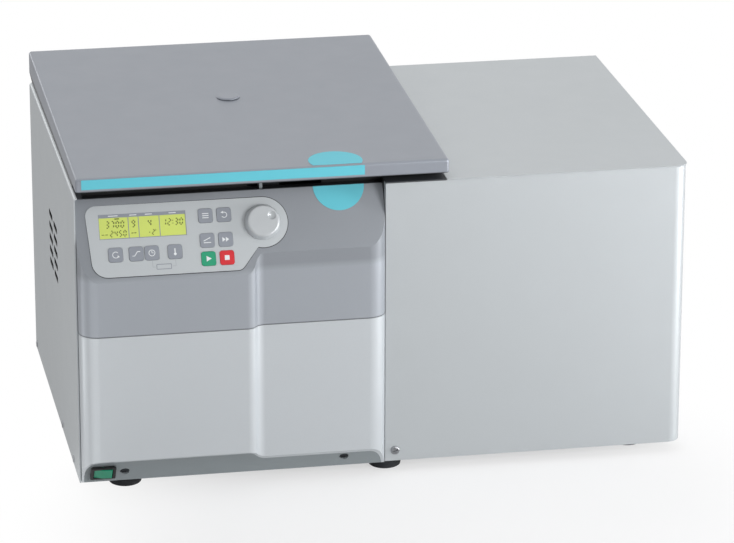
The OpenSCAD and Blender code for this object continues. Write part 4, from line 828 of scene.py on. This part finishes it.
def softForms():
    seal = sweepTree.grow("seal_bulb", outlineMesh("sealProfile", sealForm()),
                          atHeight(chamber["deck"]), "case", "seal_rubber", "sealRubber",
                          Radius=sealAt["ring"] * mm, Segments=240)
    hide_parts("chamber_seal")
    gaiter = sweepTree.grow("gaiter_bellows", outlineMesh("gaiterProfile", gaiterForm()),
                            atHeight(chamber["floor"] - gaiterAt["drop"]), "case",
                            "seal_rubber", "sealRubber", Radius=onAxis, Segments=72)
    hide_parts("shaft_gaiter")
    foam = sweepTree.grow("foam_block", outlineMesh("foamProfile", foamForm()), atHeight(0),
                          "case", "foam", "foamDark", Radius=onAxis, Segments=160,
                          Swell=0.7 * mm, Grain=55.0)
    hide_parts("foam_jacket")
    low, high = coilAt["low"], coilAt["low"] + coilAt["pitch"] * coilAt["turns"]
    coil = tubeTree.grow("coil_winding", outlineMesh("coilHost", [(0, 0), (1 * mm, 0)], False),
                         atHeight(low), "case", "copper", "copperTube",
                         Turns=float(coilAt["turns"]), Radius=coilAt["radius"] * mm,
                         Rise=(high - low) * mm, Tube=coilAt["tube"] * mm)
    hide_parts("evaporator_coil")


# the slot grids: edging, where the middle is, how the grid is turned, and its sizes
slotGrids = {
    # the side vents' rims are black, painted shade that makes the dark slots look wider
    "side_vent_lining": (("black_plastic", "blackPlastic"), (0.75, 222.7, 212.4),
                         ((0, 0, 1), (1, 0, 0), (0, 1, 0)),
                         {"Columns": 2, "Rows": 5, "Across": 0.0475, "Up": 0.0152,
                          "Length": 0.0366, "Height": 0.0076, "Rim": 0.0007}),
    "rear_vent_rims": (("panel_paint", "caseSilver"), (150, 460.1, 100),
                       ((1, 0, 0), (0, 0, -1), (0, 1, 0)),
                       {"Columns": 5, "Rows": 6, "Across": 0.022, "Up": 0.012,
                        "Length": 0.0168, "Height": 0.0058}),
}


def slotEdges():
    for name, (dress, middle, turned, sizes) in slotGrids.items():
        place = caseAt @ Matrix.Translation(middle) @ Matrix(turned).to_4x4() @ fromMetres
        rimTree.grow(name, bpy.data.meshes.new(name + "_host"), place, "case", *dress, **sizes)


skirt = {"lean": 126.3, "y": -14.5, "z": 16.35}   # the front skirt's chord and its middle
skirtLean = math.radians(skirt["lean"])
skirtOut = (0, -math.sin(skirtLean), math.cos(skirtLean))


def skirtAt(x, up, out):
    # a place on the skirt's chord, up it and out of it
    return (x, skirt["y"] + up * math.cos(skirtLean) - out * math.sin(skirtLean),
            skirt["z"] + up * math.sin(skirtLean) + out * math.cos(skirtLean))


# every screw head by size: where it sits in case millimetres and the way it faces
headSets = {
    "case_heads": ("case", "case_screws", "screwSteel", 9.0, 1.15,
                   [((0, y, 6.5), (-1, 0, 0)) for y in (56, 168, 448)]
                   + [((x, 460, z), (0, 1, 0)) for x in (30, 330, 685) for z in (20, 310.5)]),
    "front_head": ("case", None, "screwSteel", 10.5, 2.1, [((369.8, 0, 13), (0, -1, 0))]),
    "skirt_heads": ("case", None, "screwDark", 8.4, 1.4,
                    [(skirtAt(x, -6.6, -4.6), skirtOut) for x in (51.4, 307.5)]),
    "liner_heads": ("lid", None, "screwDark", 7.0, 1.0,
                    [((x, y, 350.1), (0, 0, -1)) for x in (22, 412) for y in (60, 190, 320, 440)]),
}


def screwHeads():
    for name, (body, node, dress, width, height, spots) in headSets.items():
        head = crossHead(width * mm, height * mm)
        piece = headStamp(head).grow(name, facingPoints(name + "_points", spots), whole, body,
                                     "screw_steel", dress)
        bpy.data.objects.remove(head)
        if node:
            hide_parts(node)


guard = {"middle": (559, 462.2, 150), "rings": 7, "first": 22, "step": 12.6, "wire": 0.9,
         "spokeFrom": 15, "spokeTo": 102, "spokeWidth": 4.5, "spokeLow": 0.7, "spokeHigh": 1.6}


def rearGuard():
    # round wire guard over the fan's grille: rings on four flat spokes
    middle = (caseAt @ Matrix.Translation(guard["middle"])
              @ Matrix.Rotation(math.pi / 2, 4, "X"))
    wire = [(x * mm, y * mm) for x, y in sweep(0, 0, guard["wire"], steps=8)[:-1]]
    for ring in range(guard["rings"]):
        sweepTree.grow("guard_ring_%d" % ring, outlineMesh("guardWire", wire),
                       middle @ fromMetres, "case", "screw_steel", "screwSteel",
                       Radius=(guard["first"] + guard["step"] * ring) * mm, Segments=96)
    near, far = guard["spokeFrom"], guard["spokeTo"]
    spokes = [bar(near * math.cos(a), near * math.sin(a), far * math.cos(a), far * math.sin(a),
                  guard["spokeWidth"]) for a in (math.radians(45 + 90 * k) for k in range(4))]
    flatArt("guard_spokes", spokes, middle, guard["spokeLow"], guard["spokeHigh"], "case",
            "screwSteel")


softForms()
slotEdges()
screwHeads()
rearGuard()
print("soft and wound forms, slot rims, screws and fan guard ready")


studio = {"floor": 16.0, "sky": 0.6, "mirror": 1.0, "frontMirror": 0.3,
          "lamps": {   # place, target, size, power
              "keyLamp": ((1.15, -1.95, 0.9), (0.1, 0, 0.2), (0.8, 0.8), 20.6),
              "sideLamp": ((1.8, -0.75, 0.24), (0.1, -0.2, 0.2), (0.35, 0.4), 17.5),
              "leftStrip": ((-0.63, -0.17, 0.09), (-0.34, -0.24, 0.12), (0.05, 0.18), 0.05),
              "rimLamp": ((-0.8, 1.3, 0.55), (-0.35, 0, 0.34), (0.25, 0.25), 0.45)},
          "front": (-1.3, 0.25),   # how the sky dims towards the front, in gloss
          "shade": (0.05, -0.42, 0),   # the middle of the floor's shaded patch
          "pale": (0.25, 0.52, 0.55, 1.0)}   # two distances from it and how white each one is
floorGloss = {"dim": 0.33, "share": 0.7,   # straight in front, and how much gloss shows of it
              "right": (1.8, 0.5), "rightFront": (-2.5, 0.4), "left": (-14.0, 0.31),
              "leftFront": (-8.0, 0.1), "corner": (-0.345, -0.25, 0),
              "bandAside": (-0.42, 0.906, 0), "band": (1.2, 4.5)}
cameraView = {"place": (-0.8314, -4.55725, 1.7894), "turn": 0.1852, "dip": 0.3367,
              "roll": 0.0018, "lens": 199.56}


def studioWorld():
    world = bpy.data.worlds.new("studio")
    world.use_nodes = True
    sky = Backdrop(world.node_tree)
    toward = sky.add("ShaderNodeTexCoord", {}, {}, "Generated")
    slope, start = studio["front"]
    front = sky.clamped(sky.add("ShaderNodeSeparateXYZ", {}, {0: toward}, "Y") * slope - start)
    glossy = sky.add("ShaderNodeLightPath", {}, {}, "Is Glossy Ray")
    mirror = studio["mirror"] - front * glossy * (studio["mirror"] - studio["frontMirror"])
    lit = sky.add("ShaderNodeBackground", {}, {0: (1, 1, 1, 1), 1: studio["sky"]})
    seen = sky.add("ShaderNodeBackground", {}, {0: (1, 1, 1, 1), 1: mirror})
    both = sky.add("ShaderNodeMixShader", {}, {0: sky.seenRay(), 1: lit, 2: seen})
    sky.add("ShaderNodeOutputWorld", {}, {0: both})
    bpy.context.scene.world = world


def softLamp(name, place, target, size, power):
    lamp = bpy.data.lights.new(name, "AREA")
    lamp.shape = "RECTANGLE"
    lamp.size, lamp.size_y = size
    lamp.energy = power
    stand = bpy.data.objects.new(name, lamp)
    stand.location = place
    stand.visible_camera = False
    stand.rotation_euler = (Vector(target) - Vector(place)).to_track_quat("-Z", "Y").to_euler()
    bpy.context.scene.collection.objects.link(stand)


def glossShape(pale):
    # in gloss the floor is dim straight in front and bright to either side of it, but for
    # a dark band that runs out from the left corner
    spot = pale.place()
    across = pale.add("ShaderNodeSeparateXYZ", {}, {0: spot}, "X")
    along = pale.add("ShaderNodeSeparateXYZ", {}, {0: spot}, "Y")
    acrossSlope, acrossStart = floorGloss["right"]
    alongSlope, alongStart = floorGloss["rightFront"]
    right = (pale.clamped(across * acrossSlope - acrossStart)
             * pale.clamped(along * alongSlope - alongStart))
    corner = pale.place(floorGloss["corner"])
    reach = pale.add("ShaderNodeVectorMath", {"operation": "LENGTH"}, {0: corner}, "Value")
    aside = pale.add("ShaderNodeVectorMath", {"operation": "DOT_PRODUCT"},
                     {0: corner, 1: floorGloss["bandAside"]}, "Value")
    bandFull, bandSlope = floorGloss["band"]
    band = pale.clamped(bandFull - aside.maths("ABSOLUTE", aside, 0.0) / reach * bandSlope)
    leftSlope, leftStart = floorGloss["left"]
    frontSlope, frontStart = floorGloss["leftFront"]
    left = (pale.clamped((across + leftStart) * leftSlope)
            * pale.clamped((along + frontStart) * frontSlope) * (1.0 - band))
    dim = floorGloss["dim"]
    return dim + right.maths("MAXIMUM", right, left) * (1 - dim)


def studioFloor():
    half = studio["floor"] / 2
    mesh = bpy.data.meshes.new("floor")
    mesh.from_pydata([(-half, -half, 0), (half, -half, 0), (half, half, 0), (-half, half, 0)],
                     [], [(0, 1, 2, 3)])
    floor = bpy.data.objects.new("floor", mesh)
    bpy.context.scene.collection.objects.link(floor)
    material = bpy.data.materials.new("floorPale")
    material.use_nodes = True
    pale = Backdrop(material.node_tree)
    away = pale.add("ShaderNodeVectorMath", {"operation": "LENGTH"},
                    {0: pale.place(studio["shade"])}, "Value")
    near, far, atNear, atFar = studio["pale"]
    fade = pale.add("ShaderNodeMapRange", {"interpolation_type": "SMOOTHSTEP"},
                    {0: away, 1: near, 2: far, 3: atNear, 4: atFar})
    dull = pale.add("ShaderNodeBsdfDiffuse", {}, {0: (0.93, 0.93, 0.94, 1)})
    white = pale.add("ShaderNodeEmission", {}, {0: (1, 1, 1, 1), 1: 1.0})
    shine = pale.add("ShaderNodeEmission", {}, {0: (1, 1, 1, 1), 1: glossShape(pale)})
    glossy = pale.add("ShaderNodeLightPath", {}, {}, "Is Glossy Ray")
    floorSeen = pale.add("ShaderNodeMixShader", {}, {0: pale.seenRay() * fade, 1: dull, 2: white})
    both = pale.add("ShaderNodeMixShader", {}, {
        0: glossy * floorGloss["share"], 1: floorSeen, 2: shine})
    pale.add("ShaderNodeOutputMaterial", {}, {0: both})
    mesh.materials.append(material)


def studioCamera():
    camera = bpy.data.cameras.new("camera")
    camera.lens = cameraView["lens"]
    camera.sensor_width = 36
    camera.sensor_fit = "HORIZONTAL"
    stand = bpy.data.objects.new("camera", camera)
    stand.matrix_world = (Matrix.Translation(cameraView["place"])
                          @ Matrix.Rotation(-cameraView["turn"], 4, "Z")
                          @ Matrix.Rotation(math.pi / 2 - cameraView["dip"], 4, "X")
                          @ Matrix.Rotation(cameraView["roll"], 4, "Z"))
    bpy.context.scene.collection.objects.link(stand)
    bpy.context.scene.camera = stand


studioWorld()
studioFloor()
studioCamera()
for lampName, lampFacts in studio["lamps"].items():
    softLamp(lampName, *lampFacts)
bpy.context.scene.view_settings.view_transform = "Standard"
print("studio ready")
